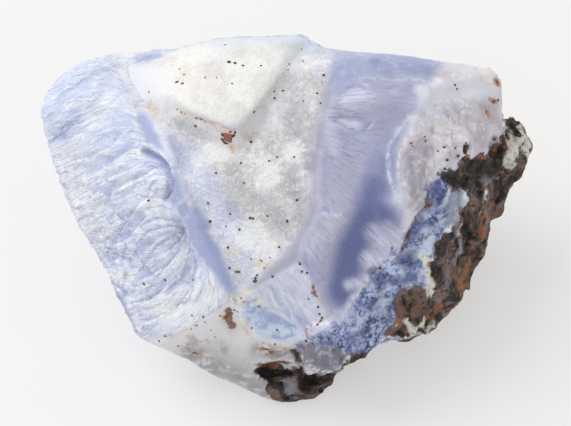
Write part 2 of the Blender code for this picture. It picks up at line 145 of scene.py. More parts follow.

# Soft marks on the face, by what they add: half width in pixels, strength, and the pixels that the mark runs
# through, as x, y, x, y and so on. Creases are thin lines of painted shade, gleams thin painted highlights along
# ridges and rims, with a few pale veins among them.
MARKS = {
    "pale": [
        (9, 1, 352, 100, 362, 96), (6, 0.9, 330, 118, 334, 148), (4, 1, 338, 121, 358, 126),
        (7, 0.9, 374, 232, 390, 248), (6, 1, 368, 258, 378, 262), (5, 1, 350, 285, 366, 281),
        (4, 1, 355, 298, 350, 308), (6, 0.7, 425, 98, 440, 88), (2.5, 1, 433, 115, 442, 116),
        (2, 0.9, 421, 88, 425, 108), (4, 0.9, 421, 119, 427, 124), (9, 0.2, 333, 158, 334, 200),
        (15, 0.8, 74, 162, 94, 228), (15, 0.9, 148, 304, 178, 316), (12, 0.8, 206, 294, 194, 312),
        (3, 1, 340, 123, 358, 126), (6, 0.8, 452, 92, 474, 84), (8, 0.8, 318, 236, 312, 250),
        (6, 0.7, 330, 130, 334, 140), (5, 0.7, 398, 236, 388, 226), (12, 1, 257, 150, 268, 180),
        (10, 0.9, 240, 130, 225, 150), (13, 0.9, 250, 236, 272, 246), (8, 0.7, 200, 160, 215, 150),
        (2.5, 0.7, 142, 204, 147, 202), (9, 0.7, 140, 290, 120, 275), (9, 0.7, 180, 300, 160, 312),
        (7, 0.8, 205, 300, 220, 292), (8, 0.7, 92, 120, 110, 100), (6, 0.8, 340, 318, 352, 312),
        (4, 1, 313, 329, 330, 326), (3, 0.5, 402, 196, 406, 204), (10, 0.8, 85, 150, 60, 155),
        (6, 0.7, 300, 278, 312, 300), (7, 0.8, 335, 215, 325, 235), (9, 0.8, 306, 180, 298, 150),
        (5, 0.8, 430, 272, 428, 288), (4, 0.9, 515, 140, 513, 158), (9, 0.6, 310, 60, 330, 55),
    ],
    # Deep marks: on the shell-shaped face the clear deep blue of the stone; on the left face, below the lip and
    # beside the bulb and the small cliffs, painted shade
    "deep": [
        (14, 0.8, 377, 186, 370, 205), (13, 1, 368, 218, 352, 250, 343, 292), (15, 0.5, 385, 164, 377, 190),
        (16, 0.26, 398, 112, 390, 130, 385, 160), (10, 0.8, 378, 205, 388, 220), (6, 0.7, 355, 232, 374, 238),
        (8, 0.35, 376, 62, 388, 72), (7, 0.3, 400, 68, 435, 72), (5, 0.9, 143, 118, 152, 138),
        (3, 1, 148, 152, 158, 158, 168, 168), (2.6, 1, 168, 171, 172, 180, 171, 190, 166, 198),
        (6, 0.7, 205, 240, 222, 268, 232, 288), (5, 0.8, 196, 212, 206, 226),
        (2.5, 0.5, 118, 64, 100, 72, 80, 83, 62, 95), (5, 0.6, 138, 58, 148, 56), (3, 0.7, 146, 56, 160, 53),
        (5, 0.4, 130, 146, 110, 162), (6, 0.5, 116, 184, 104, 196), (5, 0.3, 140, 215, 122, 240),
        (3, 0.8, 90, 250, 102, 272, 122, 300, 135, 330), (4, 0.6, 150, 240, 138, 252), (9, 0.6, 75, 118, 62, 135),
        (5, 0.7, 266, 316, 280, 322), (5, 0.7, 300, 318, 308, 326), (10, 0.35, 200, 158, 222, 196, 246, 228),
        (8, 0.5, 172, 140, 190, 165), (3, 0.7, 168, 292, 190, 268), (3, 0.7, 150, 300, 164, 284),
    ],
    "navy": [
        (8, 1, 405, 262, 416, 258), (6, 1, 376, 272, 382, 282), (4, 0.9, 431, 224, 434, 229),
        (8, 0.9, 438, 190, 443, 202), (6, 0.7, 395, 280, 412, 276), (6, 0.8, 372, 306, 384, 296),
        (5, 0.8, 350, 336, 366, 330), (7, 0.7, 408, 240, 420, 224), (5, 0.8, 318, 348, 330, 346),
        (6, 0.6, 395, 300, 388, 318),
    ],
    "sky": [
        (8, 1, 432, 238, 426, 254), (5, 1, 408, 320, 411, 327), (5, 1, 276, 330, 294, 333),
        (6, 0.6, 262, 322, 272, 330), (2, 1, 450, 188, 441, 207), (6, 0.7, 388, 292, 380, 312),
        (5, 0.7, 400, 272, 388, 262), (6, 0.3, 116, 60, 96, 72, 76, 84, 56, 98, 48, 112),
        (7, 0.6, 215, 40, 250, 37, 290, 38), (8, 0.8, 300, 38, 318, 46), (3, 0.6, 398, 132, 414, 117),
        (1.6, 0.8, 389, 152, 390, 176, 396, 190), (6, 0.8, 292, 380, 294, 388), (4, 0.7, 362, 322, 354, 330),
        (5, 0.6, 455, 200, 452, 214), (3, 0.8, 460, 234, 461, 258),
    ],
    "cream": [
        (4, 1, 246, 292, 254, 297, 262, 302), (4, 0.8, 186, 331, 195, 327), (3, 0.8, 234, 251, 237, 251),
        (5, 0.7, 232, 300, 240, 298), (4, 0.7, 486, 74, 494, 78), (3, 0.9, 425, 257, 427, 264),
        (5, 0.9, 252, 300, 262, 305), (14, 0.2, 200, 80, 250, 70), (4, 0.5, 420, 88, 428, 92),
    ],
    "rusty": [
        (1.6, 0.8, 314, 285, 315, 296), (2.5, 0.4, 230, 309, 231, 318), (2.5, 0.9, 497, 80, 499, 84),
        (3, 0.8, 492, 100, 496, 102), (2, 0.6, 487, 110, 490, 118), (2.5, 0.9, 264, 366, 276, 366),
        (1.5, 0.7, 309, 337, 307, 328, 314, 323), (1.6, 0.6, 260, 350, 268, 347, 276, 351),
        (3, 0.7, 396, 320, 401, 317), (2, 0.7, 430, 268, 430, 262), (5, 0.7, 462, 286, 470, 262),
        (4, 0.6, 482, 236, 486, 214), (4, 0.7, 430, 318, 440, 306), (3, 0.6, 496, 150, 500, 138),
        (3, 0.35, 318, 386, 330, 380), (3, 0.5, 470, 156, 484, 158),
    ],
    "stain": [
        (10, 0.28, 185, 76, 210, 80), (4, 0.8, 149, 104, 154, 112), (4, 0.8, 155, 116, 161, 119),
        (3, 0.6, 177, 110, 205, 120), (3.5, 0.9, 205, 121, 225, 131, 245, 136),
        (4, 0.35, 248, 128, 262, 108, 278, 86, 289, 68), (2, 1, 246, 134, 253, 141), (2.5, 1, 231, 143, 233, 150),
        (2, 0.8, 319, 298, 325, 308, 328, 316), (2, 0.9, 172, 192, 169, 198), (3, 0.6, 230, 298, 240, 303),
        (2, 0.8, 196, 326, 182, 334, 166, 337), (4, 0.7, 190, 350, 204, 356), (5, 0.6, 226, 318, 234, 330),
        (3, 0.7, 246, 326, 249, 332), (4, 0.5, 486, 106, 494, 120), (3, 0.5, 256, 262, 268, 266),
        (3, 0.5, 233, 250, 238, 252), (2, 0.8, 430, 180, 427, 198, 430, 207, 418, 217, 411, 230, 404, 249),
        (4, 0.6, 302, 352, 312, 364), (2, 0.6, 404, 250, 381, 268, 361, 292), (5, 0.5, 262, 350, 282, 352),
    ],
    # Smoky marks: dark clear places in the grey agate and the druse, and painted shade on the lower grey front side
    "smoke": [
        (8, 1, 412, 156, 413, 182, 418, 204), (9, 0.9, 424, 150, 422, 186), (7, 0.7, 460, 178, 458, 214),
        (10, 0.75, 250, 382, 222, 368, 192, 356), (10, 0.8, 250, 386, 284, 398),
        (6, 0.8, 304, 350, 318, 362, 334, 356), (12, 0.6, 300, 90, 296, 130), (10, 0.35, 236, 168, 236, 200),
        (9, 0.5, 268, 200, 284, 226), (8, 0.6, 484, 108, 482, 140), (6, 0.7, 306, 140, 308, 168),
        (7, 0.7, 258, 350, 292, 354), (8, 0.6, 296, 170, 300, 220), (5, 0.7, 470, 120, 476, 140),
        (4, 0.7, 418, 192, 432, 206),
    ],
    # Dark marks: near black places of the crust, and painted shade in the crevice and pocket below the lobe and under
    # the overhanging rim
    "dark": [
        (7, 1, 448, 176, 466, 186), (9, 1, 472, 168, 494, 166), (6, 1, 498, 150, 492, 172),
        (3, 1, 504, 118, 512, 124, 520, 134), (3, 1, 524, 172, 506, 184, 497, 200), (5, 0.9, 446, 238, 440, 252),
        (5, 0.9, 436, 266, 440, 282), (3, 1, 295, 352, 301, 364), (3, 1, 258, 370, 272, 371, 288, 374, 300, 372),
        (3, 1, 264, 377, 278, 379, 288, 376), (2.5, 0.9, 272, 384, 282, 388, 284, 396),
        (4, 1, 302, 379, 318, 383, 336, 378), (3, 0.9, 304, 390, 322, 392), (5, 0.9, 345, 362, 420, 340),
        (3, 1, 425, 326, 428, 318), (4, 0.8, 478, 250, 466, 278), (4, 0.8, 430, 300, 440, 318),
        (2.5, 1, 467, 147, 467, 151), (2, 0.8, 403, 296, 408, 310),
    ],
    "brown": [
        (7, 1, 404, 297, 402, 308), (6, 1, 414, 312, 424, 302, 420, 293), (5, 1, 393, 330, 402, 327),
        (3, 0.8, 423, 297, 428, 303), (3, 0.7, 430, 205, 428, 186), (2, 0.6, 418, 217, 411, 230, 404, 248),
        (3, 0.6, 228, 318, 234, 326), (4, 0.7, 262, 366, 276, 368), (5, 0.7, 300, 386, 322, 390),
        (2, 0.6, 262, 344, 272, 352), (2.4, 1, 230, 310, 231, 318),
    ],
    "bluish": [
        (16, 0.9, 182, 158, 200, 190, 222, 222, 244, 246), (12, 0.7, 205, 200, 226, 232, 246, 264, 252, 280),
        (10, 0.5, 268, 262, 284, 250), (10, 0.5, 166, 130, 178, 150), (6, 0.6, 320, 74, 330, 62),
    ],
    "chalk": [
        (5, 1, 516, 138, 515, 152, 509, 163), (2.2, 0.9, 501, 117, 505, 134, 511, 148),
        (4, 0.7, 522, 126, 528, 140, 527, 154), (3, 0.6, 512, 128, 518, 136), (3.5, 0.9, 406, 320, 412, 328),
        (2, 0.7, 424, 317, 421, 326, 427, 331, 433, 320, 424, 317), (3, 0.7, 402, 338, 420, 334),
        (2, 0.5, 447, 186, 452, 190), (2, 0.6, 486, 190, 481, 214), (2.5, 0.5, 524, 140, 520, 150),
        (4, 0.9, 426, 258, 427, 264), (4, 0.8, 430, 270, 431, 288, 430, 300),
    ],
    "film": [
        (3, 0.9, 459, 232, 461, 246, 456, 262), (5, 0.5, 452, 262, 444, 290), (4, 0.7, 486, 182, 500, 178),
        (7, 0.95, 284, 382, 294, 390), (6, 0.6, 456, 200, 452, 224), (4, 0.5, 440, 320, 452, 312),
        (4, 0.6, 300, 352, 311, 365, 325, 370, 339, 361), (4, 0.5, 486, 196, 490, 226),
    ],
    # Crease marks: thin lines of painted shade along creases and small cracks
    "crease": [
        (1.1, 0.8, 331, 117, 345, 117, 358, 118, 363, 120), (1.2, 1, 334, 120, 350, 129, 366, 131, 372, 123),
        (1.1, 0.6, 330, 108, 345, 109, 358, 114), (1.1, 0.6, 342, 94, 346, 88, 356, 86, 366, 88),
        (1.1, 0.6, 410, 150, 402, 162, 402, 178, 406, 192), (1.1, 0.8, 426, 172, 427, 190, 430, 204),
        (1.1, 0.8, 148, 183, 156, 175, 166, 174), (1.1, 0.8, 151, 190, 158, 181, 168, 181),
        (1.1, 0.7, 154, 197, 162, 188, 169, 190), (1.1, 0.7, 150, 208, 162, 206, 172, 210),
        (1.2, 1, 170, 168, 175, 178, 175, 190, 169, 198), (1.3, 0.9, 143, 150, 158, 156, 168, 166),
        (1.2, 0.9, 187, 229, 172, 221, 155, 219, 140, 227), (1.2, 0.9, 186, 230, 170, 226, 150, 231, 138, 245),
        (1.2, 0.9, 186, 232, 172, 236, 158, 246, 148, 260), (1.2, 0.8, 188, 236, 181, 250, 169, 264, 158, 277),
        (1.2, 0.8, 191, 238, 191, 256, 185, 272, 172, 288), (1.2, 0.7, 194, 250, 197, 270, 194, 290),
        (1.1, 0.8, 177, 276, 193, 286, 191, 298, 178, 306), (1.1, 0.7, 158, 173, 146, 180, 133, 186, 118, 194),
        (1.1, 0.7, 112, 262, 120, 256, 132, 260), (1.1, 0.7, 100, 232, 112, 240, 118, 252),
        (1.1, 0.7, 136, 286, 144, 276, 156, 274), (1.1, 0.7, 276, 298, 284, 306, 290, 318),
        (1.1, 0.7, 272, 286, 280, 300, 292, 314, 302, 318), (1.1, 0.6, 330, 340, 342, 332, 352, 336),
        (1.1, 0.6, 430, 130, 444, 136, 462, 132), (1.1, 0.6, 452, 100, 462, 116, 480, 122),
    ],
    # Gleams: painted highlights along ridges, cliff rims and the lobe's rim, with a few pale veins
    "gleam": [
        (1.8, 1, 303, 356, 312, 366, 324, 373, 337, 373, 345, 365, 349, 356),
        (1.2, 0.9, 142, 147, 150, 148, 160, 154, 168, 161, 173, 170),
        (1.5, 0.5, 437, 153, 431, 162, 427, 174, 425, 186),
        (1.1, 0.6, 413, 116, 400, 130, 390, 145, 388, 162, 391, 181, 398, 198, 402, 205),
        (1.1, 0.7, 408, 139, 401, 151, 399, 165, 400, 177), (2, 0.6, 410, 116, 416, 120),
        (1.4, 0.8, 433, 114, 438, 117, 444, 116), (1.1, 0.5, 404, 246, 396, 256, 382, 268, 366, 284, 358, 296),
        (1.2, 0.9, 156, 170, 145, 176, 132, 181, 119, 190), (1.3, 0.9, 141, 203, 146, 200, 151, 203),
        (1.2, 0.4, 236, 306, 246, 326, 262, 338, 280, 343, 296, 344),
        (1.3, 0.9, 308, 326, 318, 322, 330, 324, 334, 330), (1.2, 0.8, 176, 274, 192, 284, 190, 296),
        (1.2, 0.5, 165, 338, 180, 333, 198, 324, 214, 313, 230, 304), (1.5, 0.7, 505, 116, 509, 128, 514, 140),
        (1.2, 0.5, 457, 208, 462, 222, 460, 240, 462, 256), (1.1, 0.4, 372, 79, 396, 79, 416, 80, 430, 82),
        (1.1, 0.6, 150, 186, 160, 176, 170, 178, 172, 188), (1.2, 0.8, 176, 226, 166, 222, 154, 223),
        (1.2, 0.8, 182, 242, 172, 256, 160, 266), (1.2, 0.7, 188, 246, 186, 262, 178, 280),
        (1.3, 0.7, 96, 246, 108, 262, 122, 284),
    ],
    # Milky marks: milky translucent places, and the last one painted light on the top of the grey front side
    "milk": [
        (15, 1, 126, 60, 138, 78, 150, 98), (9, 0.8, 136, 100, 146, 108), (8, 0.7, 155, 110, 170, 108),
        (10, 0.7, 296, 70, 318, 52), (8, 0.6, 262, 130, 284, 100, 302, 66), (8, 0.5, 190, 122, 238, 142),
        (10, 0.9, 440, 96, 468, 88, 488, 92), (7, 0.7, 424, 92, 434, 112), (7, 0.6, 484, 116, 490, 132),
        (9, 0.6, 150, 336, 136, 322), (6, 0.7, 476, 232, 470, 214), (5, 0.6, 450, 64, 480, 72, 504, 74),
        (3, 0.9, 340, 123, 357, 126), (5, 0.5, 398, 198, 404, 206), (6, 0.5, 178, 339, 205, 328, 226, 333),
    ],
    "smooth": [
        (16, 1, 124, 58, 96, 68, 66, 86, 48, 112), (14, 0.8, 126, 96, 108, 112, 90, 130),
        (10, 0.7, 112, 150, 90, 162), (9, 0.7, 120, 196, 104, 206),
    ],
}
# Where the left face is cracked into small rounded cells
CRACKLE_MARKS = [
    (24, 1, 62, 178, 84, 226, 112, 284, 140, 322), (16, 0.9, 110, 214, 128, 250, 150, 300),
]

# Rises and hollows on the face: millimetres, half width in pixels, and the pixels that each runs through
RISES = [
    (0.5, 9, 157, 181, 161, 184), (0.2, 5, 141, 206, 147, 203), (-0.35, 5, 147, 153, 160, 160, 169, 170),
    (0.45, 8, 316, 330, 327, 329), (0.3, 6, 302, 320, 307, 326), (-0.3, 3, 467, 147, 467, 151),
    (-0.25, 2.4, 459, 156, 459, 157), (-0.25, 2.4, 465, 159, 466, 159), (-0.22, 2.2, 448, 160, 448, 160.5),
    (-0.2, 2.2, 445, 147, 446, 147), (-0.2, 2.2, 446, 169, 448, 169), (-0.3, 2.6, 495, 139, 496, 140),
    (0.35, 10, 441, 190, 444, 204), (-0.3, 3, 404, 250, 412, 232, 418, 218, 430, 207), (0.3, 6, 404, 297, 402, 308),
    (0.3, 6, 414, 312, 424, 300), (0.45, 4, 422, 318, 426, 330, 432, 320), (-0.5, 4, 427, 322, 427, 326),
    (0.3, 5, 407, 320, 411, 327), (0.2, 8, 352, 100, 362, 96), (-0.5, 3, 295, 354, 302, 369),
    (-0.35, 3, 260, 371, 276, 374, 290, 372), (-0.3, 2.5, 270, 380, 282, 386),
    (0.4, 5, 501, 117, 505, 134, 514, 150), (-0.4, 4, 300, 377, 318, 381, 338, 376), (0.35, 8, 312, 356, 334, 362),
    (-0.5, 4, 508, 126, 516, 134), (-0.5, 5, 448, 178, 464, 186), (-0.4, 6, 474, 168, 492, 168),
]
# Small cliffs: height, reach in pixels, and a line with the raised side on its left as one looks along it
LEDGES = [
    (0.34, 12, 141, 146, 150, 148, 160, 154, 168, 161, 173, 171),
    (0.34, 14, 164, 168, 156, 168, 150, 172, 145, 177, 130, 183, 117, 190), (0.24, 12, 112, 198, 100, 192, 92, 196),
    (0.22, 10, 154, 191, 148, 199, 141, 204, 136, 212, 126, 222),
    (0.24, 12, 150, 214, 138, 228, 128, 240, 112, 246), (0.2, 14, 128, 128, 112, 146, 90, 158, 70, 162),
    (0.2, 12, 140, 140, 122, 156, 104, 168, 88, 178), (0.14, 12, 132, 88, 118, 99, 104, 113, 86, 122, 68, 127),
    (0.18, 10, 146, 160, 130, 170, 116, 176, 98, 184), (0.26, 12, 184, 236, 180, 252, 168, 266, 150, 277, 134, 282),
    (0.22, 12, 189, 268, 178, 278, 161, 293, 146, 304), (0.22, 12, 196, 272, 194, 288, 185, 300, 176, 310),
    (0.16, 8, 187, 227, 172, 221, 156, 220, 142, 226), (0.16, 8, 186, 230, 170, 227, 154, 230, 142, 238),
    (0.16, 8, 184, 233, 170, 234, 158, 240, 148, 250), (0.18, 10, 118, 258, 106, 266, 98, 262),
    (0.2, 10, 140, 300, 126, 296, 114, 282), (0.2, 10, 160, 318, 148, 322, 136, 312),
    (0.14, 7, 376, 122, 367, 129, 354, 130, 342, 126, 334, 120), (0.12, 6, 328, 117, 345, 115, 358, 117),
    (0.12, 10, 343, 97, 348, 87, 362, 84, 371, 89), (0.14, 9, 318, 296, 309, 274, 301, 263),
    (0.16, 12, 350, 223, 343, 215, 320, 212), (0.09, 10, 396, 194, 389, 170, 389, 155, 400, 132, 415, 113),
    (0.12, 12, 360, 80, 380, 78, 400, 77, 420, 81, 433, 81),
]

# Dark grains that sit on the stone: pixel, length in pixels, length over width and turn in degrees. A grain that
# leaves the last ones out is as wide as long, or unturned.
SPECKS = [
    (230, 62, 4.2, 1.3), (236, 63, 3.2, 1.2), (244, 65.5, 2.6, 1.2), (262, 65.5, 2.2, 1.3), (178, 82, 4.2, 1.8, 35),
    (183.5, 83.5, 3.4, 1.4), (180.5, 69, 1.8), (185, 74.5, 1.8), (226, 45, 2), (206, 77.5, 1.8), (233, 83.5, 1.8),
    (289, 70, 2.4, 1.8, 60), (284, 90.5, 2.6, 1.5), (275.5, 98, 2.4), (275, 91.5, 1.8), (255, 112, 2.8, 1.2, 40),
    (196.5, 126, 3, 1.1), (252, 142, 2.8), (242, 163, 2.6, 1.2, 30), (270, 161, 2), (278, 157, 2.6, 1.2),
    (217, 173, 2.4), (209, 203, 2.6), (231, 214, 2.4), (211, 221.5, 3.2), (251, 218, 3.4, 1.2), (254, 218.4, 2.6),
    (268.5, 216, 2), (298, 200, 2.8), (288, 221, 3), (240.5, 229.5, 2.6), (229, 247.5, 2.6), (280, 247, 2.4),
    (230.5, 268, 2.6), (238.5, 271.8, 6.4, 2.6, 2), (256, 281, 4.4, 1.2, 20), (258, 275.2, 2.2),
    (256.5, 278, 2.6, 1, 60), (273.5, 276.5, 2.8), (301, 264, 2.6), (303, 271.5, 3.2, 1.5, 60),
    (308, 273, 2.8, 1.3, 20), (318, 93.5, 2.6), (324.5, 75, 2.6), (304, 101, 2.8, 2, 70), (321.5, 103, 2),
    (166, 280, 3, 1.2), (145, 284, 3, 1.2), (149.5, 200.5, 3.2, 1.5, 20), (193, 315.5, 2.6, 1.6), (204.5, 317, 2.4),
    (319, 307, 2.8), (320.5, 314, 2.6), (323, 318, 2.6), (278, 330, 2.4), (309.5, 299, 1.8), (393, 248, 2.4),
    (381, 268, 2.8), (401, 286, 3), (368, 327, 2.6), (330, 339, 2.6), (307, 341, 3, 1.2), (336, 331, 2.4),
    (335, 350, 2.6, 1.3), (467, 149, 5.4, 1.2, 80), (459, 156, 4, 1.3), (465, 159, 3.6, 1.2), (448, 160, 3.6, 1.2),
    (445, 147, 3.4, 1.4, 10), (446, 169, 3.6, 1.6), (478, 157, 4, 1.2), (484, 153, 2.6), (495, 139, 4, 1.3, -40),
    (456, 85, 2.6, 1.2), (458, 89, 2.2), (426, 136.5, 1.8), (426.5, 141, 2.4, 1.3, 80), (439, 151, 2),
    (456, 148, 2), (467, 143, 2.2), (252.5, 328, 2.8, 1.5, 70), (223.6, 134.5, 4.4, 1.3, 90),
    (223.4, 139.5, 5.2, 1.4, 90), (226.5, 142.8, 6, 1.8, -5), (236.2, 132.4, 3), (234.6, 135.6, 3.4),
    (231.5, 131.8, 3.2, 1.6), (227, 317, 2.4), (160, 341, 2.2), (179, 346, 2.6, 1.4), (189, 344, 2.2, 1.6),
    (494, 102, 3, 1.2), (499, 100, 2.8), (487, 112, 2.4, 2, -70), (304, 61, 1.8), (302.5, 49, 2, 1.6, 50),
    (217.5, 77.5, 1.4), (276, 344, 2.2), (300, 262, 1.6), (263, 261, 1.6), (271, 257.5, 1.6), (227, 226, 1.6),
]
# Reddish grains, given the same way
RUST_GRAINS = [
    (230, 309.5, 5, 1.4, 60), (232, 313.5, 5, 1.5, 20), (228, 315, 4, 1.4), (232, 323, 3, 1.2),
    (235, 310, 2.6, 1.2), (238, 311.5, 1.8), (314, 287, 5, 2.4, -80), (315.5, 292.5, 5.4, 2, -72),
    (317.5, 296, 4, 2.2, -68), (313, 293, 3, 1.6, -80), (321.5, 321, 4.4, 1.8, 58), (318.5, 324.5, 4, 2, 30),
    (323, 317.5, 2.6, 1.3, 80), (178.5, 109.5, 3, 2.2, -28), (182, 112, 3.6, 2.6, -32), (186, 114, 2, 2, -28),
    (197.5, 118, 4, 2.2, -8), (202, 119, 4.4, 2.6, -20), (206, 121.2, 3, 2.6, -28), (150, 92, 2.6, 1.6, 90),
    (245, 183, 2.4), (295, 157, 2.6, 1.2), (194, 280, 2.4, 1.4, 30), (290, 64, 3, 2, 60), (260, 306.5, 2.2),
    (245, 302, 2.6, 1.6, 20), (242, 298, 2), (252, 259, 1.8), (261.5, 260, 2, 1.4, 20), (265, 268, 2, 1.3, -30),
    (197.5, 325.5, 3.4, 2.2, 28), (192, 329, 2.2, 1.6, 28), (206, 322, 2.4, 2, 28), (221, 316, 3.2, 2.2, 25),
    (212, 330, 2, 1.4), (208, 340, 2.6, 2.2, -10), (216, 337, 2, 1.6), (196, 353, 6, 2.6, -30),
    (266, 349, 7, 3.4, -10), (268, 354.5, 4, 2.6, 10), (498, 82, 5, 1.3, -50), (495, 101, 4.6, 1.4, 10),
    (478.5, 156, 3.4, 1.2, 20), (271, 366, 5, 2.6, 5), (166, 336, 2.4, 1.2), (346, 338, 2, 1.4),
    (412, 143, 4, 2.2, 30), (413.5, 146, 2.6, 1.6, -50),
]

# In half widths from its middle: where a mark has faded out, and where a rise ends and where it is full
MARK_FADE = 2.1
RISE_FADE = (1.25, 0.5)
# In millimetres: the coarse, middling and fine lumps of the broken faces, and the cracked cells of the left one
LUMP_SIZES = (2.4, 1.1, 0.55)
CRACKLE_SIZE = 1.9

# The crust lies beyond a plane in the face's frame; hidden sides are counted this far from every other zone
CRUST_NORMAL = (0.804, -0.420, -0.420)
CRUST_START = 13.0
HIDDEN_DEPTH = 6.0
# How softly a zone's relief begins and the left face ends, in millimetres in from the outline
ZONE_EDGE = (-0.2, 0.4)
LEFT_EDGE = (-0.35, 0.05)

# Streaks: the lip that they hang from, how far they hook down beside it, and the fan that they run into, in pixels
LIP_TOP = (139, 108)
LIP_FOOT = (236, 297)
HOOK = 26
HOOK_REACH = 13
FAN = (187, 228)
FAN_SWIRL = 0.63
FAN_SPREAD = 0.785
FAN_OFFSET = 86
FAN_BLEND = (85, 122)
# The pixels that the fine streaks of the right and of the lower face spread from, their spread, and how far beyond
# the right face they begin, in millimetres
HACKLE_SOURCE = (230, 110)
LOWER_SOURCE = (150, 110)
HACKLE_SPREAD = 140
SHELL_MARGIN = 0.4

# Corners of the plain solid that lie this close are one, in metres
WELD = 0.000001
# Faces that look further to the front than this are made finer. Then the whole mesh is smoothed this often, and the
# softened edges, which lie above this w, this often
FRONT_TILT = 0.22
SMOOTHINGS = 3
SOFT_ABOVE = -8.0
SOFTENINGS = 14
# How far a face looks to the front between hidden and seen
FACING = (-0.32, -0.02)
# In millimetres: between these heights over the base the relief begins, and this far from its edge the crown is worn
BASE_FADE = (0.1, 0.9)
CROWN_EDGE = 0.9
# Where the left face turns away from the eye its streaks are lower, so that its outline stays calm
TURNING_AWAY = (0.0, 0.45)
CALM_SHARE = 0.65

# Small cliffs: how wide they are, in pixels, the share of their length in which they fade at each end, how far the
# painted shade at their foot and the painted highlight on their rim reach, as shares of their own reach, and the
# height that has them in full
CLIFF_WIDTH = 1.2
CLIFF_FADE = 0.12
CLIFF_SHADE = 0.28
CLIFF_HIGHLIGHT = 0.14
FULL_CLIFF = 0.24

# Grains: length over width and turn of a round one, thickness over width, and how uneven they are and how finely
ROUND_GRAIN = (1, 0)
GRAIN_THICKNESS = 0.7
GRAIN_UNEVEN = 0.35
GRAIN_LUMPS = 1.6
# The rusty splinter: its pixel and turn on the photograph, its bevel as a share of its sides, and how uneven it is
CHIP_PLACE = (229, 137.5)
CHIP_TURN = math.radians(-6)
CHIP_BEVEL = 0.08
CHIP_UNEVEN = 0.12
CHIP_LUMPS = 3

# The bands of the hidden sides: the way in which they follow each other, on the standing stone, and the size of the
# noise that they come from, in millimetres
LACE_WAY = (0.78, -0.15, -0.60)
BAND_WIDTH = 1 / 0.9

# The stone's own finish: its refractive index, the share of light that comes from just below the surface, how far
# red, green and blue go there as shares of a depth, that depth in metres, and the height of the finest grain in
# millimetres
QUARTZ_IOR = 1.54
SCATTER_SHARE = 0.12
SCATTER_COLOURS = (1.0, 1.0, 1.2)
SCATTER_DEPTH = 0.0012
FINE_BUMP = 0.16

# The stage, in metres: half the floor's side, the share of its colour that its darker places have, its roughness and
# the colour of its glow, the window's place, and the nearest thing that the camera sees
FLOOR_HALF = 1.0
FLOOR_MOTTLE = 0.97
FLOOR_ROUGHNESS = 0.9
FLOOR_GLOW = (1.0, 0.995, 0.99)
WINDOW_PLACE = Vector((-0.52, 0.30, 0.74))
NEAREST_SEEN = 0.01


def linear(red, green, blue):
    """A colour picked on screen, 0 to 255 a channel, as the linear values that materials use."""
    picked = (c / 255 for c in (red, green, blue))
    return tuple(c / 12.92 if c <= 0.04045 else ((c + 0.055) / 1.055) ** 2.4 for c in picked)


def colour(label, text, *screen):
    """A colour setting, whose default is given as it is picked on screen."""
    return bpy.props.FloatVectorProperty(
        name=label, description=text, subtype="COLOR", size=3, min=0.0, max=1.0, default=linear(*screen)
    )


def length(label, text, millimetres):
    """A length setting, whose default is given in millimetres."""
    return bpy.props.FloatProperty(
        name=label, description=text, default=millimetres * MM, min=0.0, unit="LENGTH", precision=5
    )


def share(label, text, default, top=1.0):
    return bpy.props.FloatProperty(name=label, description=text, default=default, min=0.0, max=top, subtype="FACTOR")


class AgateShape(bpy.types.PropertyGroup):
    """Sizes of the stone's surface."""

    grain: length("Mesh grain", "Side of the mesh's faces on the hidden sides; the front has half of it", 0.43)
    druse_height: length("Sugar height", "How far the quartz grains stand out of the sugary zones", 0.07)
    druse_size: length("Sugar grain", "Size of the quartz grains", 0.55)
    streak_height: length("Streak height", "Height of the fibrous streaks on the left face", 0.05)
    streak_wander: length("Streak wander", "How far the streaks of the left face wander", 0.4)
    plate_tip: share("Plate tip", "How steeply the flat plates of the left face are tipped", 0.11)
    hackle_height: length("Hackle height", "Height of the fine streaks on the shell-shaped face", 0.035)
    crown_rounding: length("Crown rounding", "How much the edge of the white crown is worn down", 0.45)
    crust_height: length("Crust height", "Height of the lumps in the brown crust", 0.55)
    ledge_share: share("Ledge strength", "How strongly the small cliffs stand out", 1.5, 3.0)
    speck_stand: share("Speck stand", "Share of a grain's thickness that stands out of the stone", 0.55)
    chip_width: length("Chip width", "Width of the rusty splinter below the crown", 1.0)
    chip_height: length("Chip height", "Its height on the face", 0.95)
    chip_thickness: length("Chip thickness", "Its thickness, half of it sunk in the quartz", 0.36)


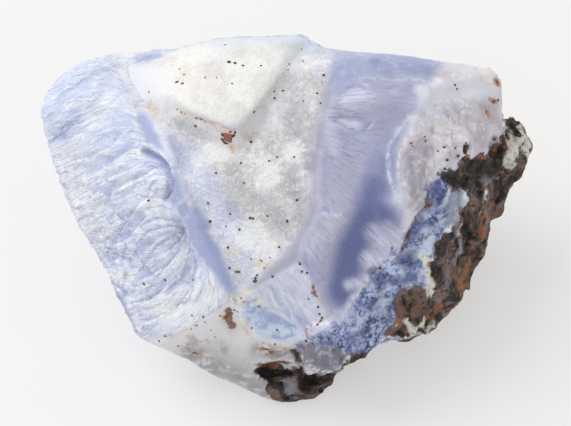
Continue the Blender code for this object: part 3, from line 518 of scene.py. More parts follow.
class AgateColours(bpy.types.PropertyGroup):
    """Colours of the stone, zone by zone."""

    left_pale: colour("Left face, pale", "Milky lavender of the left face", 241, 246, 254)
    left_blue: colour("Left face, blue", "Blue in the creases of the left face", 207, 216, 241)
    left_rim: colour("Left face, rim", "Clear blue rim of the left face", 184, 198, 231)
    # Painted shade: the lip band's blue, darkened as if the band were turned away from the light
    lip: colour("Lip", "Smooth band below the left face's lip", 165, 175, 212)
    crown_white: colour("Crown", "Sugary white quartz at the top", 234, 233, 231)
    crown_grey: colour("Crown, clear grains", "Clearer grains in the crown", 218, 216, 213)
    druse_white: colour("Druse, white", "White grains of the middle zone", 248, 248, 249)
    crown_rim: colour("Crown, rim", "Clear worn rim of the crown", 219, 221, 221)
    druse_grey: colour("Druse, grey", "Grey clear grains of the middle zone", 196, 194, 195)
    # Painted shade in the small gaps between the druse's grains
    druse_gap_shade: colour("Druse, pits", "Small dark gaps between its grains", 160, 158, 162)
    druse_blue: colour("Druse, blue", "Bluish ground on the middle zone's left and foot", 206, 212, 236)
    bevel: colour("Bevel", "Smooth strip between the druse and the shell-shaped face", 177, 175, 193)
    lavender: colour("Lavender", "Shell-shaped face", 172, 174, 204)
    lavender_deep: colour("Deep lavender", "Its clear deep places", 99, 108, 157)
    top_blue: colour("Top strip", "Blue strip along the top of the shell-shaped face", 165, 174, 206)
    lavender_pale: colour("Pale lavender", "Its whitish streaks", 214, 215, 235)
    grey_face: colour("Grey face", "Clear grey agate at the right", 230, 225, 226)
    grey_tint: colour("Grey face, tint", "Lavender tint in the grey agate", 198, 191, 202)
    blue_dark: colour("Blue zone, dark", "Navy places of the granular blue zone", 46, 54, 108)
    blue_mid: colour("Blue zone", "Granular blue", 108, 124, 184)
    blue_pale: colour("Blue zone, pale", "Pale grains of the blue zone", 184, 196, 228)
    sky: colour("Sky blue", "Cyan white patches", 204, 220, 240)
    cream: colour("Cream", "Yellowish white patches", 233, 231, 218)
    lower_face: colour("Lower face", "Silky face below the middle", 200, 204, 226)
    lace_blue: colour("Lace patch", "Blue heart of the small lace patch", 156, 172, 212)
    lobe: colour("Lobe", "Clear rounded lobe at the lower rim", 120, 116, 128)
    milk: colour("Milk", "Milky translucent places", 226, 228, 236)
    foot_pale: colour("Foot, pale", "Upper part of the grey front side", 222, 220, 222)
    # Painted shade: the grey front side darkens towards its foot, where it turns down to the floor
    foot_dark: colour("Foot, dark", "Lower part of the grey front side", 122, 119, 123)
    crust_dark: colour("Crust, dark", "Near black places of the crust", 24, 19, 18)
    crust_brown: colour("Crust, brown", "Brown of the crust", 120, 92, 79)
    crust_rust: colour("Crust, rust", "Rusty places of the crust", 150, 100, 74)
    crust_grit: colour("Crust, grit", "Pale grit on the crust", 158, 134, 120)
    crust_grey: colour("Crust, grey", "Grey blue films on the crust", 140, 144, 158)
    # Painted shade: the colour of the deeper furrows, creases and cracks
    furrow_shade: colour("Furrows", "Deeper furrows of the left face and cracks of the others", 132, 142, 188)
    crease: colour("Creases", "Fine shaded creases of the left face", 172, 181, 219)
    smoke: colour("Smoky agate", "Dark clear places in the grey agate", 150, 145, 158)
    stain: colour("Stain", "Faint iron stains in the white quartz", 240, 204, 176)
    rust: colour("Rust", "Iron stains", 176, 112, 70)
    chip: colour("Rusty splinter", "Colour of the splinter below the crown", 158, 98, 74)
    back_white: colour("Bands, white", "White lace bands of the hidden sides", 224, 227, 236)
    back_blue: colour("Bands, blue", "Blue bands of the hidden sides", 150, 162, 204)


class AgateStage(bpy.types.PropertyGroup):
    """Floor, lights and camera."""

    floor: colour("Floor", "Pale floor", 177, 176, 175)
    glow: share("Floor glow", "Light that comes through the pale floor, as on a light table", 0.45)
    fill: share("Fill light", "Strength of the even light from all round", 0.72, 4.0)
    key_power: bpy.props.FloatProperty(
        name="Window light", description="Power of the large soft light", default=4.6, min=0.0, unit="POWER"
    )
    key_size: length("Window size", "Side of the large soft light", 600)
    lens: bpy.props.FloatProperty(
        name="Lens", description="Focal length of the camera on a 36 mm sensor", default=155.4, min=1.0, unit="CAMERA"
    )


def smoothstep(value, low, high):
    """From 0 to 1 as the value goes from low to high, with soft ends."""
    level = np.clip((value - low) / (high - low), 0, 1)
    return level * level * (3 - 2 * level)


def noise_at(points, size, shift=0.0):
    """Soft noise of about this size at each point."""
    return np.array([noise.noise((x + shift, y, z)) for x, y, z in (points / size).tolist()])


def seeds_near(points, size):
    """For each point the distance to the nearest seed of an uneven pattern of cells."""
    return np.array([noise.voronoi(place)[0][0] for place in (points / size).tolist()])


def plates_at(points, size):
    """Flat plates of about this size, each tipped its own way: height and shade of the plate at each point."""
    plates = []
    for place in map(Vector, (points / size).tolist()):
        seed = noise.voronoi(place)[1][0]
        tip = noise.cell_vector(seed) - Vector((0.5, 0.5, 0.5))
        plates.append(((place - seed).dot(tip) * 2 * size, noise.cell(seed)))
    return np.array(plates).T


def nearest_on(line, points):
    """Distance of each point from a broken line, the side it lies on and its place along the line, 0 to 1."""
    distance = np.full(len(points), np.inf)
    side = np.zeros(len(points))
    along = np.zeros(len(points))
    run = 0.0
    for start, end in zip(np.array(line, float), np.array(line[1:], float)):
        step = end - start
        reach = math.hypot(*step)
        part = np.clip((points - start) @ step / reach**2, 0, 1)
        off = points - start - part[:, None] * step
        away = np.hypot(off[:, 0], off[:, 1])
        closer = away < distance
        distance = np.where(closer, away, distance)
        side = np.where(closer, np.sign(step[0] * off[:, 1] - step[1] * off[:, 0]), side)
        along = np.where(closer, run + part * reach, along)
        run += reach
    return distance, side, along / run


def line_through(numbers):
    """The points of a line that is given as x, y, x, y and so on."""
    return list(zip(numbers[::2], numbers[1::2]))


def depth_in(outline, points):
    """How deep each point lies inside an outline, in pixels; below zero outside it."""
    corners = line_through(outline + outline[:2])
    distance, _, _ = nearest_on(corners, points)
    inside = np.zeros(len(points), bool)
    for (x0, y0), (x1, y1) in zip(corners, corners[1:]):
        if y0 != y1:
            crosses = (points[:, 1] < y0) != (points[:, 1] < y1)
            inside ^= crosses & (points[:, 0] < x0 + (points[:, 1] - y0) * (x1 - x0) / (y1 - y0))
    return np.where(inside, distance, -distance)


def marks_at(marks, points):
    """The strongest of some soft marks at each point, 0 to 1."""
    level = np.zeros(len(points))
    for half, strength, *numbers in marks:
        distance, _, _ = nearest_on(line_through(numbers), points)
        level = np.maximum(level, strength * smoothstep(distance, half * MARK_FADE, 0))
    return level


def face_frame():
    """From the face's frame, in millimetres, to the standing stone, in metres."""
    return Matrix.Scale(MM, 4) @ Matrix.Translation(FACE_MIDDLE) @ Matrix.Rotation(FACE_TIP, 4, "X")


def stood_up(points):
    """Points of the face's frame as places on the standing stone, in metres."""
    place = np.array(face_frame())
    return points @ place[:3, :3].T + place[:3, 3]


def seen_pixels(points):
    """Where the photograph shows points of the face's frame."""
    spread = PIXEL * (1 - points[:, 2] / CAMERA_DISTANCE)
    return np.column_stack((PHOTO_MIDDLE[0] + points[:, 0] / spread, PHOTO_MIDDLE[1] - points[:, 1] / spread))


def link(data, name):
    """Adds a new object with this data to the scene."""
    obj = bpy.data.objects.new(name, data)
    bpy.context.scene.collection.objects.link(obj)
    return obj


def even_mesh(shape):
    """A copy of the plain stone with even faces, finer on its front, in the face's frame."""
    bm = bmesh.new()
    bm.from_mesh(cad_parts[NODE].data)
    bmesh.ops.remove_doubles(bm, verts=bm.verts, dist=WELD)
    bmesh.ops.transform(bm, matrix=face_frame().inverted(), verts=bm.verts)
    plain = bpy.data.meshes.new("plain")
    bm.to_mesh(plain)
    bm.free()
    block = link(plain, "plain")
    grain = block.modifiers.new("grain", "REMESH")
    grain.mode = "VOXEL"
    grain.voxel_size = shape.grain / MM
    graph = bpy.context.evaluated_depsgraph_get()
    even = bpy.data.meshes.new_from_object(block.evaluated_get(graph))
    bpy.data.objects.remove(block)
    bpy.data.meshes.remove(plain)
    bm = bmesh.new()
    bm.from_mesh(even)
    bm.normal_update()
    front = {edge for face in bm.faces if face.normal.z > FRONT_TILT for edge in face.edges}
    bmesh.ops.subdivide_edges(bm, edges=sorted(front, key=lambda edge: edge.index), cuts=1, use_grid_fill=True)
    bmesh.ops.triangulate(bm, faces=[face for face in bm.faces if len(face.verts) > 4])
    seen = seen_pixels(np.array([vert.co for vert in bm.verts]))
    bm.verts.ensure_lookup_table()
    soft = [bm.verts[i] for i in np.flatnonzero(depth_in(SOFTENED, seen) > 0) if bm.verts[i].co.z > SOFT_ABOVE]
    for verts, times in ((bm.verts, SMOOTHINGS), (soft, SOFTENINGS)):
        for _ in range(times):
            bmesh.ops.smooth_vert(bm, verts=verts, factor=0.5, use_axis_x=True, use_axis_y=True, use_axis_z=True)
    bm.to_mesh(even)
    bm.free()
    return even


def zone_depths(points, facing, seen):
    """How deep each point lies in each zone, in millimetres. Hidden sides have no zone but the crust."""
    hidden = (1 - facing) * HIDDEN_DEPTH
    depths = {name: depth_in(outline, seen) * PIXEL * facing - hidden for name, outline in ZONES.items()}
    under = depth_in(UNDERSIDE, seen) * PIXEL * facing - hidden
    beyond = points @ np.array(CRUST_NORMAL) - CRUST_START
    depths["crust"] = np.maximum(np.maximum(depths["crust"], under), beyond * (1 - facing) - facing * HIDDEN_DEPTH)
    return depths


def flow_at(seen, depths):
    """Across and along the streaks of the broken faces, in millimetres."""
    lip_way = np.subtract(LIP_FOOT, LIP_TOP) / math.dist(LIP_FOOT, LIP_TOP)
    from_top = seen - np.array(LIP_TOP)
    down = from_top @ lip_way
    out = from_top @ np.array((-lip_way[1], lip_way[0]))
    hooked = down - HOOK * np.exp(-np.maximum(out, 0) / HOOK_REACH)
    from_fan = seen - np.array(FAN)
    turn = np.degrees(np.arctan2(-from_fan[:, 1], -from_fan[:, 0]))
    reach = np.hypot(from_fan[:, 0], from_fan[:, 1])
    fanned = (FAN_SWIRL * reach - turn) * FAN_SPREAD + FAN_OFFSET
    share_fan = smoothstep(down, *FAN_BLEND)
    across = hooked + share_fan * (fanned - hooked)
    along = out + share_fan * (reach - out)
    shell = np.max([depths[name] for name in ("bevel", "lavender", "top", "grey", "blue")], axis=0)
    for source, use in ((HACKLE_SOURCE, shell > -SHELL_MARGIN), (LOWER_SOURCE, depths["lower"] > 0)):
        away = seen - np.array(source)
        far = np.hypot(away[:, 0], away[:, 1])
        across = np.where(use, np.arctan2(away[:, 1], away[:, 0]) * HACKLE_SPREAD, across)
        along = np.where(use, far, along)
    return np.column_stack((across, along)) * PIXEL


def streaks_at(flow, size, stretch, shift=0.0):
    """Noise drawn out along the streaks."""
    return noise_at(np.column_stack((flow[:, 0], flow[:, 1] / stretch, np.full(len(flow), shift))), size)


def ledges_at(seen):
    """Height of the small cliffs, and nearness to the foot and rim of one, for painted shade and highlight."""
    height, foot, rim = np.zeros((3, len(seen)))
    for tall, reach, *numbers in LEDGES:
        distance, side, along = nearest_on(line_through(numbers), seen)
        taper = smoothstep(along, 0.0, CLIFF_FADE) * smoothstep(along, 1.0, 1 - CLIFF_FADE)
        near = np.exp(-distance / reach) * taper
        level = smoothstep(-side * distance, -CLIFF_WIDTH, CLIFF_WIDTH) - 0.5
        height += tall * level * near
        low = side > 0
        full = min(1, tall / FULL_CLIFF)
        foot = np.maximum(foot, np.where(low, taper * np.exp(-distance / (reach * CLIFF_SHADE)), 0) * full)
        rim = np.maximum(rim, np.where(low, 0, taper * np.exp(-distance / (reach * CLIFF_HIGHLIGHT))) * full)
    return height, foot, rim


def left_share(facing, depths):
    """1 on the left face, which no other zone covers."""
    return facing * (1 - smoothstep(np.max(list(depths.values()), axis=0), *LEFT_EDGE))


def plates_of_left(points, drawn, rough, tip):
    """Height and shade of the left face's plates: long along the streaks, and short where the face is cracked."""
    long_plates = np.column_stack((drawn[:, 0], drawn[:, 1] / 4, np.zeros(len(drawn))))
    height, shade = plates_at(long_plates, 1.5)
    small_height, small_shade = plates_at(long_plates + 40, 0.7)
    short_height, short_shade = plates_at(points, CRACKLE_SIZE)
    chip_height, chip_shade = plates_at(points, CRACKLE_SIZE / 2)
    smooth_side = 1 - rough
    height = tip * (smooth_side * (height + small_height) + rough * (short_height + chip_height))
    shade = smooth_side * (0.6 * shade + 0.4 * small_shade) + rough * (0.5 * short_shade + 0.5 * chip_shade)
    return height, shade


def left_relief(points, seen, flow, coarse, middling, fine, shape):
    """Relief of the fibrous and plated left face, and the shade of its plates."""
    wander = np.column_stack((noise_at(points, 3.0, 5.0) + 0.4 * middling, np.zeros(len(points))))
    drawn = flow + wander * shape.streak_wander / MM
    folds = streaks_at(drawn, 2.3, 3.5) + 0.6 * streaks_at(drawn, 1.2, 5.0, 4.0)
    threads = 1 - 2 * np.abs(streaks_at(drawn, 0.85, 7.0, 7.0))
    threads *= smoothstep(noise_at(points, 2.8, 9.0), -0.25, 0.35)
    fibres = folds + 0.6 * threads + 0.3 * streaks_at(drawn, 0.42, 6.0, 2.0)
    rough = marks_at(CRACKLE_MARKS, seen)
    plates, shade = plates_of_left(points + 0.25 * middling[:, None], drawn, rough, shape.plate_tip)
    streaky = shape.streak_height / MM * fibres * (1 - 0.6 * rough) + 0.08 * coarse + plates
    streaky *= 1 - 0.75 * marks_at(MARKS["smooth"], seen)
    return streaky + rough * (0.06 * middling + 0.03 * fine), shade


def relief_at(points, seen, facing, depths, left, flow, shape):
    """How far each point stands out of the plain stone, in millimetres, and the shade of the left face's plates."""
    inside = {name: smoothstep(depth, *ZONE_EDGE) for name, depth in depths.items()}
    inside["lavender"] *= 1 - inside["top"]
    inside["lower"] *= 1 - inside["lace"]
    for name in ("blue", "foot", "crust"):
        inside[name] *= 1 - inside["lobe"]
    coarse, middling, fine = (noise_at(points, size) for size in LUMP_SIZES)
    seeds = seeds_near(points, shape.druse_size / MM)
    sugar = shape.druse_height / MM * (1 - 1.7 * seeds + 0.6 * fine) + 0.1 * coarse
    hackles = 1 - 2 * np.abs(streaks_at(flow, 0.5, 8.0)) + 0.5 * streaks_at(flow, 0.3, 7.0, 3.0)
    ripples = noise_at(np.column_stack((flow[:, 0] / 4, flow[:, 1], flow[:, 0] * 0)), 1.6)
    lumps = coarse + 0.55 * middling + 0.25 * fine - 0.7 * smoothstep(noise_at(points, 1.5, 11.0), 0.25, 0.5)
    heights = {
        "crown": 0.55 * sugar,
        "druse": sugar,
        "bevel": 0.03 * middling,
        "lip": 0.05 * coarse,
        "lavender": shape.hackle_height / MM * hackles + 0.05 * ripples,
        "top": 0.08 * middling,
        "grey": 0.12 * coarse + 0.03 * middling,
        "blue": 0.30 * coarse + 0.22 * middling + 0.10 * fine,
        "lower": 0.06 * hackles + 0.10 * coarse,
        "lace": 0.04 * coarse,
        "foot": 0.22 * coarse + 0.08 * middling,
        "lobe": 0.10 * coarse,
        "crust": shape.crust_height / MM * lumps,
    }
    relief = sum(inside[name] * height for name, height in heights.items())
    relief -= shape.crown_rounding / MM * facing * np.exp(-((depths["crown"] / CROWN_EDGE) ** 2))
    streaky, shade = left_relief(points, seen, flow, coarse, middling, fine, shape)
    relief += left * streaky
    relief += (1 - facing) * (1 - inside["crust"]) * (0.25 * noise_at(points, 5.0) + 0.08 * middling)
    for tall, half, *numbers in RISES:
        distance, _, _ = nearest_on(line_through(numbers), seen)
        relief += facing * tall * smoothstep(distance, half * RISE_FADE[0], half * RISE_FADE[1])
    return relief, shade


def add_attribute(mesh, name, values):
    """Keeps one value, or one row of up to three, for each vertex."""
    if values.ndim == 1:
        mesh.attributes.new(name, "FLOAT", "POINT").data.foreach_set("value", values.astype(np.float32))
        return
    rows = np.zeros((len(values), 3), np.float32)
    rows[:, : values.shape[1]] = values
    mesh.attributes.new(name, "FLOAT_VECTOR", "POINT").data.foreach_set("vector", rows.ravel())


def vectors_of(items, key):
    """One row of three numbers for each of a mesh's items."""
    rows = np.empty(len(items) * 3, np.float32)
    items.foreach_get(key, rows)
    return rows.reshape(-1, 3).astype(float)


def carve(mesh, shape):
    """Gives the even mesh its natural surface, and keeps what the colours follow with each vertex."""
    points = vectors_of(mesh.vertices, "co")
    normals = vectors_of(mesh.vertex_normals, "vector")
    seen = seen_pixels(points)
    facing = smoothstep(normals[:, 2], *FACING)
    depths = zone_depths(points, facing, seen)
    flow = flow_at(seen, depths)
    left = left_share(facing, depths)
    relief, shade = relief_at(points, seen, facing, depths, left, flow, shape)
    cliffs, foot, rim = ledges_at(seen)
    relief += shape.ledge_share * facing * cliffs
    relief *= 1 - CALM_SHARE * left * (1 - smoothstep(normals[:, 2], *TURNING_AWAY))
    relief *= smoothstep(stood_up(points)[:, 2] / MM, *BASE_FADE)
    low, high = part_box(NODE)
    stood = np.clip(stood_up(points + normals * relief[:, None]), np.array(low), np.array(high))
    mesh.vertices.foreach_set("co", stood.astype(np.float32).ravel())
    kept = dict(depths)
    kept.update({name: marks_at(marks, seen) * facing for name, marks in MARKS.items()})
    kept.update(facing=facing, left=left, plate=shade, flow=flow, relief=relief, ledge_foot=foot * facing)
    kept.update(ledge_rim=rim * facing, crackle=marks_at(CRACKLE_MARKS, seen))
    for name, values in kept.items():
        add_attribute(mesh, name, values)
    for polygon in mesh.polygons:
        polygon.use_smooth = True
    mesh.update()


class Wiring:
    """Short calls that add and link the nodes of one material. Sizes are in millimetres."""

    def __init__(self, name):
        self.material = bpy.data.materials.new(name)
        self.material.use_nodes = True
        self.tree = self.material.node_tree
        self.surface = self.tree.nodes["Principled BSDF"]
        self.place = self.tree.nodes.new("ShaderNodeTexCoord").outputs["Object"]

    def feed(self, socket, value):
        """Links a socket to another one, or sets it to a number, colour or vector."""
        if isinstance(value, bpy.types.NodeSocket):
            self.tree.links.new(value, socket)
        elif isinstance(value, (int, float)):
            socket.default_value = value
        else:
            value = tuple(value)
            alpha = (1.0,) if len(socket.default_value) > len(value) else ()
            socket.default_value = value + alpha

    def set_shader(self, **values):
        """Feeds sockets of the shader, whose names are given with _ for each space."""
        for key, value in values.items():
            self.feed(self.surface.inputs[key.replace("_", " ")], value)

    def add(self, kind, inputs, **settings):
        node = self.tree.nodes.new(kind)
        for key, value in settings.items():
            setattr(node, key, value)
        for key, value in inputs.items():
            self.feed(node.inputs[key], value)
        return node

    def math(self, operation, first, second=0.0):
        return self.add("ShaderNodeMath", {0: first, 1: second}, operation=operation).outputs[0]

    def times(self, first, second):
        return self.math("MULTIPLY", first, second)

    def plus(self, first, *others):
        for other in others:
            first = self.math("ADD", first, other)
        return first

    def most(self, first, *others):
        for other in others:
            first = self.math("MAXIMUM", first, other)
        return first

    def swing(self, value, amount):
        """How far a noise is from its middle, times an amount."""
        return self.times(self.math("SUBTRACT", value, 0.5), amount)

    def step(self, value, low, high, top=1.0):
        """From 0 to top as the value goes from low to high, with soft ends."""
        inputs = {0: value, 1: low, 2: high, 3: 0.0, 4: top}
        return self.add("ShaderNodeMapRange", inputs, interpolation_type="SMOOTHSTEP").outputs[0]

    def near(self, value, middle, half):
        """1 where the value is at the middle, fading to 0 at this much more or less."""
        return self.step(self.math("ABSOLUTE", self.math("SUBTRACT", value, middle)), half, 0.0)

    def mix(self, factor, first, second, blend="MIX"):
        inputs = {0: factor, 6: first, 7: second}
        return self.add("ShaderNodeMix", inputs, data_type="RGBA", blend_type=blend, clamp_factor=True).outputs[2]

    def coats(self, paint, *layers):
        """Lays one paint after the other on the first, each as strong as its factor says."""
        for factor, over in layers:
            paint = self.mix(factor, paint, over)
        return paint

    def attribute(self, name, output="Fac"):
        return self.add("ShaderNodeAttribute", {}, attribute_name=name).outputs[output]

    def vector(self, operation, first, second, output=0):
        return self.add("ShaderNodeVectorMath", {0: first, 1: second}, operation=operation).outputs[output]

    def noise(self, size, detail=2.0, roughness=0.5):
        inputs = {"Vector": self.place, "Scale": 1 / (size * MM), "Detail": detail, "Roughness": roughness}
        return self.add("ShaderNodeTexNoise", inputs).outputs[0]

    def drawn(self, way, width, length, detail, roughness, distortion=0.0):
        """Noise drawn out along a way that is given in millimetres, in streaks this wide and long."""
        vector = self.vector("MULTIPLY", way, (1 / width, 1 / length, 0))
        inputs = {"Vector": vector, "Scale": 1, "Detail": detail, "Roughness": roughness, "Distortion": distortion}
        return self.add("ShaderNodeTexNoise", inputs).outputs[0]

    def warped(self, size, millimetres):
        """The place on the piece, pushed about by noise."""
        inputs = {"Vector": self.place, "Scale": 1 / (size * MM), "Detail": 3.0}
        push = self.add("ShaderNodeTexNoise", inputs).outputs["Color"]
        push = self.vector("SUBTRACT", push, (0.5, 0.5, 0.5))
        return self.vector("ADD", self.place, self.vector("MULTIPLY", push, (millimetres * MM * 2,) * 3))

    def facets(self, vector, size):
        """Small flat cells of one brightness each."""
        inputs = {"Vector": vector, "Scale": 1 / (size * MM)}
        return self.add("ShaderNodeTexVoronoi", inputs).outputs["Color"]

    def crack(self, vector, size, low, high, top=1.0):
        """The lines between uneven cells: none at the distance low from a cell's edge, and full at high."""
        inputs = {"Vector": vector, "Scale": 1 / (size * MM)}
        edge = self.add("ShaderNodeTexVoronoi", inputs, feature="DISTANCE_TO_EDGE").outputs["Distance"]
        return self.step(edge, low, high, top)

    def bump(self, height, millimetres):
        inputs = {"Strength": 1.0, "Distance": millimetres * MM, "Height": height}
        return self.add("ShaderNodeBump", inputs).outputs[0]


class StoneWiring(Wiring):
    """The agate's material, with the noises, streaks and cracks that its zones share."""

    def __init__(self, name):
        super().__init__(name)
        self.flecks = self.noise(0.30, 2, 0.6)
        self.grains = self.noise(0.60, 3, 0.6)
        self.grit = self.noise(0.55, 4, 0.7)
        self.ragged = self.noise(1.1, 5, 0.65)
        self.patches = self.noise(1.7, 4, 0.55)
        self.haze = self.noise(3.2, 5, 0.62)
        self.clouds = self.noise(4.5, 3)
        self.left = self.attribute("left")
        self.relief = self.attribute("relief")
        self.shaken = self.warped(1.4, 0.55)
        flow = self.attribute("flow", "Vector")
        push = self.add("ShaderNodeCombineXYZ", {0: self.times(self.patches, 1.2), 1: self.clouds}).outputs[0]
        bent = self.vector("ADD", flow, push)
        self.fibres = self.faded(self.drawn(bent, 0.9, 6.0, 4, 0.6, 0.2))
        self.hairs = self.faded(self.drawn(flow, 0.24, 3.6, 4, 0.65, 0.2))
        self.strokes = self.faded(self.drawn(flow, 0.26, 1.5, 3, 0.65, 0.6))
        self.chips = self.drawn(bent, 0.75, 2.2, 3, 0.6, 0.5)
        strands = self.drawn(bent, 1.5, 8.0, 2, 0.5, 0.3)
        threads = self.drawn(bent, 0.6, 6.0, 2, 0.5, 0.3)
        # Thin lines of painted shade along the folds and, in the cracked cells, along the cracks; the glints beside
        # the folds are painted highlights
        folded = self.most(
            self.times(self.near(strands, 0.50, 0.018), self.step(self.patches, 0.44, 0.56, 0.8)),
            self.times(self.near(threads, 0.52, 0.022), self.step(self.ragged, 0.50, 0.60, 0.5)),
        )
        cracked = self.most(self.crack(self.shaken, 1.7, 0.11, 0.01), self.crack(self.shaken, 0.8, 0.12, 0.01, 0.6))
        cracked = self.times(cracked, self.step(self.attribute("crackle"), 0.15, 0.75))
        cracked = self.times(cracked, self.step(self.ragged, 0.40, 0.56))
        self.creases = self.times(self.most(folded, cracked), self.left)
        self.glints = self.most(
            self.times(self.near(strands, 0.545, 0.022), self.step(self.patches, 0.42, 0.55)),
            self.times(self.near(threads, 0.57, 0.025), self.step(self.ragged, 0.46, 0.6)),
        )

    def faded(self, streaks):
        """Streaks that fade out where those of the lower face meet the ones round it."""
        seam = self.step(self.math("ABSOLUTE", self.attribute("lower")), 0.40, 0.12)
        return self.plus(streaks, self.times(self.math("SUBTRACT", 0.5, streaks), seam))

    def zone(self, name, soft=0.25, wander=1.0):
        """1 inside a zone, with an edge that is this soft and wanders this far, in millimetres."""
        return self.step(self.plus(self.attribute(name), self.swing(self.patches, wander * 2)), -soft, soft)

    def mark(self, name, soft=0.2, broken=2.2):
        """A mark with an edge, broken up by noise."""
        level = self.plus(self.attribute(name), self.swing(self.ragged, broken))
        return self.times(self.step(level, 0.5 - soft, 0.5 + soft), self.step(self.attribute(name), 0.0, 0.12))

    def tint(self, name, strength, by, low=0.30, high=0.56):
        """A mark without an edge, broken up a little by a noise."""
        return self.times(self.attribute(name), self.step(by, low, high, strength))


def left_face(w, colours):
    """The fibrous, plated and cracked left face, with painted shade in its hollows and light on its raised places."""
    plate = w.attribute("plate")
    smooth = w.attribute("smooth")
    return w.coats(
        w.mix(w.step(w.fibres, 0.30, 0.60), colours.left_blue, colours.left_pale),
        (w.step(w.haze, 0.52, 0.70, 0.4), colours.left_blue),
        # Painted light and shade: each plate lighter or darker, at random from plate to plate
        (w.step(plate, 0.45, 0.20, 0.8), colours.left_blue),
        (w.step(plate, 0.60, 0.85, 0.6), colours.druse_white),
        (w.times(smooth, 0.55), colours.left_rim),
        # Painted shade and highlights of the small chips
        (w.step(w.chips, 0.46, 0.40, 0.2), colours.crease),
        (w.step(w.chips, 0.53, 0.58, 0.3), colours.druse_white),
        (w.step(w.hairs, 0.48, 0.66, 0.35), colours.left_pale),
        # Painted shade in the hollows and painted light on the raised places
        (w.step(w.relief, 0.0, -0.25, 0.35), colours.left_blue),
        (w.step(w.relief, 0.05, 0.30, 0.5), colours.left_pale),
        (w.times(w.glints, 0.7), colours.druse_white),
        # Painted shade along the folds and cracks
        (w.times(w.creases, w.step(smooth, 1.0, 0.0, 0.75)), w.mix(0.5, colours.crease, colours.furrow_shade)),
    )


def white_crown(w, colours):
    """The sugary white crown, worn clear along its rim."""
    return w.coats(
        w.mix(w.step(w.haze, 0.36, 0.58), colours.crown_grey, colours.crown_white),
        (w.step(w.flecks, 0.50, 0.68, 0.45), colours.druse_white),
        (w.step(w.flecks, 0.44, 0.30, 0.35), colours.crown_grey),
        (w.step(w.attribute("crown"), 1.5, 0.2, 0.8), colours.crown_rim),
    )


def sugary_druse(w, colours):
    """The grey and white quartz sugar of the middle zone, with painted shade in the gaps between its grains."""
    white = w.plus(w.haze, w.times(w.attribute("pale"), 0.28), w.swing(w.ragged, 0.5))
    return w.coats(
        w.mix(w.attribute("bluish"), colours.druse_grey, colours.druse_blue),
        (w.step(white, 0.42, 0.74, 0.75), colours.druse_white),
        (w.step(w.flecks, 0.52, 0.68, 0.6), colours.druse_white),
        # Painted shade in the gaps between the grains
        (w.step(w.flecks, 0.45, 0.28, 0.4), colours.druse_gap_shade),
    )


def shell_face(w, colours):
    """The shell-shaped lavender face with its brushed streaks."""
    brushed = w.plus(w.times(w.attribute("pale"), 0.8), w.step(w.haze, 0.40, 0.62, 0.3))
    brushed = w.times(brushed, w.step(w.attribute("deep"), 0.9, 0.1))
    return w.coats(
        w.mix(w.step(w.clouds, 0.4, 0.65, 0.5), colours.lavender, colours.bevel),
        (w.step(w.strokes, 0.46, 0.34, 0.3), colours.lavender_deep),
        (w.times(w.step(w.strokes, 0.46, 0.60), brushed), colours.lavender_pale),
    )


def grey_agate(w, colours):
    """The clear grey agate at the right."""
    split = w.crack(w.shaken, 2.6, 0.04, 0.0, 0.6)
    return w.coats(
        w.mix(w.step(w.haze, 0.36, 0.62), colours.grey_face, colours.grey_tint),
        (w.step(w.ragged, 0.52, 0.66, 0.5), colours.druse_white),
        (w.times(split, w.step(w.patches, 0.42, 0.54)), colours.smoke),
        (w.step(w.grit, 0.44, 0.34, 0.3), colours.smoke),
    )


def blue_granules(w, colours):
    """The granular blue zone."""
    sparkle = w.facets(w.warped(0.5, 0.1), 0.24)
    facets = w.facets(w.warped(0.8, 0.2), 0.42)
    return w.coats(
        w.mix(w.step(w.patches, 0.40, 0.54), colours.blue_dark, colours.blue_mid),
        (w.step(w.ragged, 0.47, 0.58, 0.9), colours.blue_pale),
        (w.step(facets, 0.72, 0.80, 0.5), colours.sky),
        (w.step(facets, 0.32, 0.22, 0.6), colours.blue_dark),
        (w.step(sparkle, 0.66, 0.74, 0.55), colours.blue_pale),
        (w.step(sparkle, 0.30, 0.22, 0.35), colours.blue_dark),
    )


def silky_lower_face(w, colours):
    return w.coats(
        w.mix(w.step(w.strokes, 0.40, 0.64, 0.6), colours.lower_face, colours.left_pale),
        (w.step(w.patches, 0.50, 0.62, 0.35), colours.left_blue),
    )


def grey_foot(w, colours):
    """The grey front side, darkened towards its foot by painted shade, with rusty freckles along its upper edge."""
    down = w.attribute("foot")
    freckles = w.times(w.step(w.grit, 0.60, 0.66, 0.6), w.step(down, 1.6, 0.4))
    return w.coats(
        # Painted shade, deeper towards the foot
        w.mix(w.step(down, 0.6, 5.0, 0.4), colours.foot_pale, colours.foot_dark),
        (w.step(w.ragged, 0.50, 0.66, 0.45), colours.foot_pale),
        (w.step(w.haze, 0.46, 0.34, 0.5), colours.foot_dark),
        (freckles, colours.rust),
    )


def matrix_crust(w, colours):
    """The lumpy brown crust, with painted shade in its hollows."""
    return w.coats(
        w.mix(w.step(w.patches, 0.40, 0.60), colours.crust_dark, colours.crust_brown),
        (w.step(w.noise(2.6, 5, 0.65), 0.52, 0.68, 0.55), colours.crust_rust),
        (w.step(w.noise(1.3, 5, 0.65), 0.58, 0.68, 0.5), colours.crust_grey),
        (w.step(w.grit, 0.52, 0.66, 0.55), colours.crust_grit),
        (w.step(w.grit, 0.46, 0.34, 0.8), colours.crust_dark),
        # Painted shade in the crust's hollows
        (w.step(w.relief, -0.1, -0.4, 0.85), colours.crust_dark),
    )


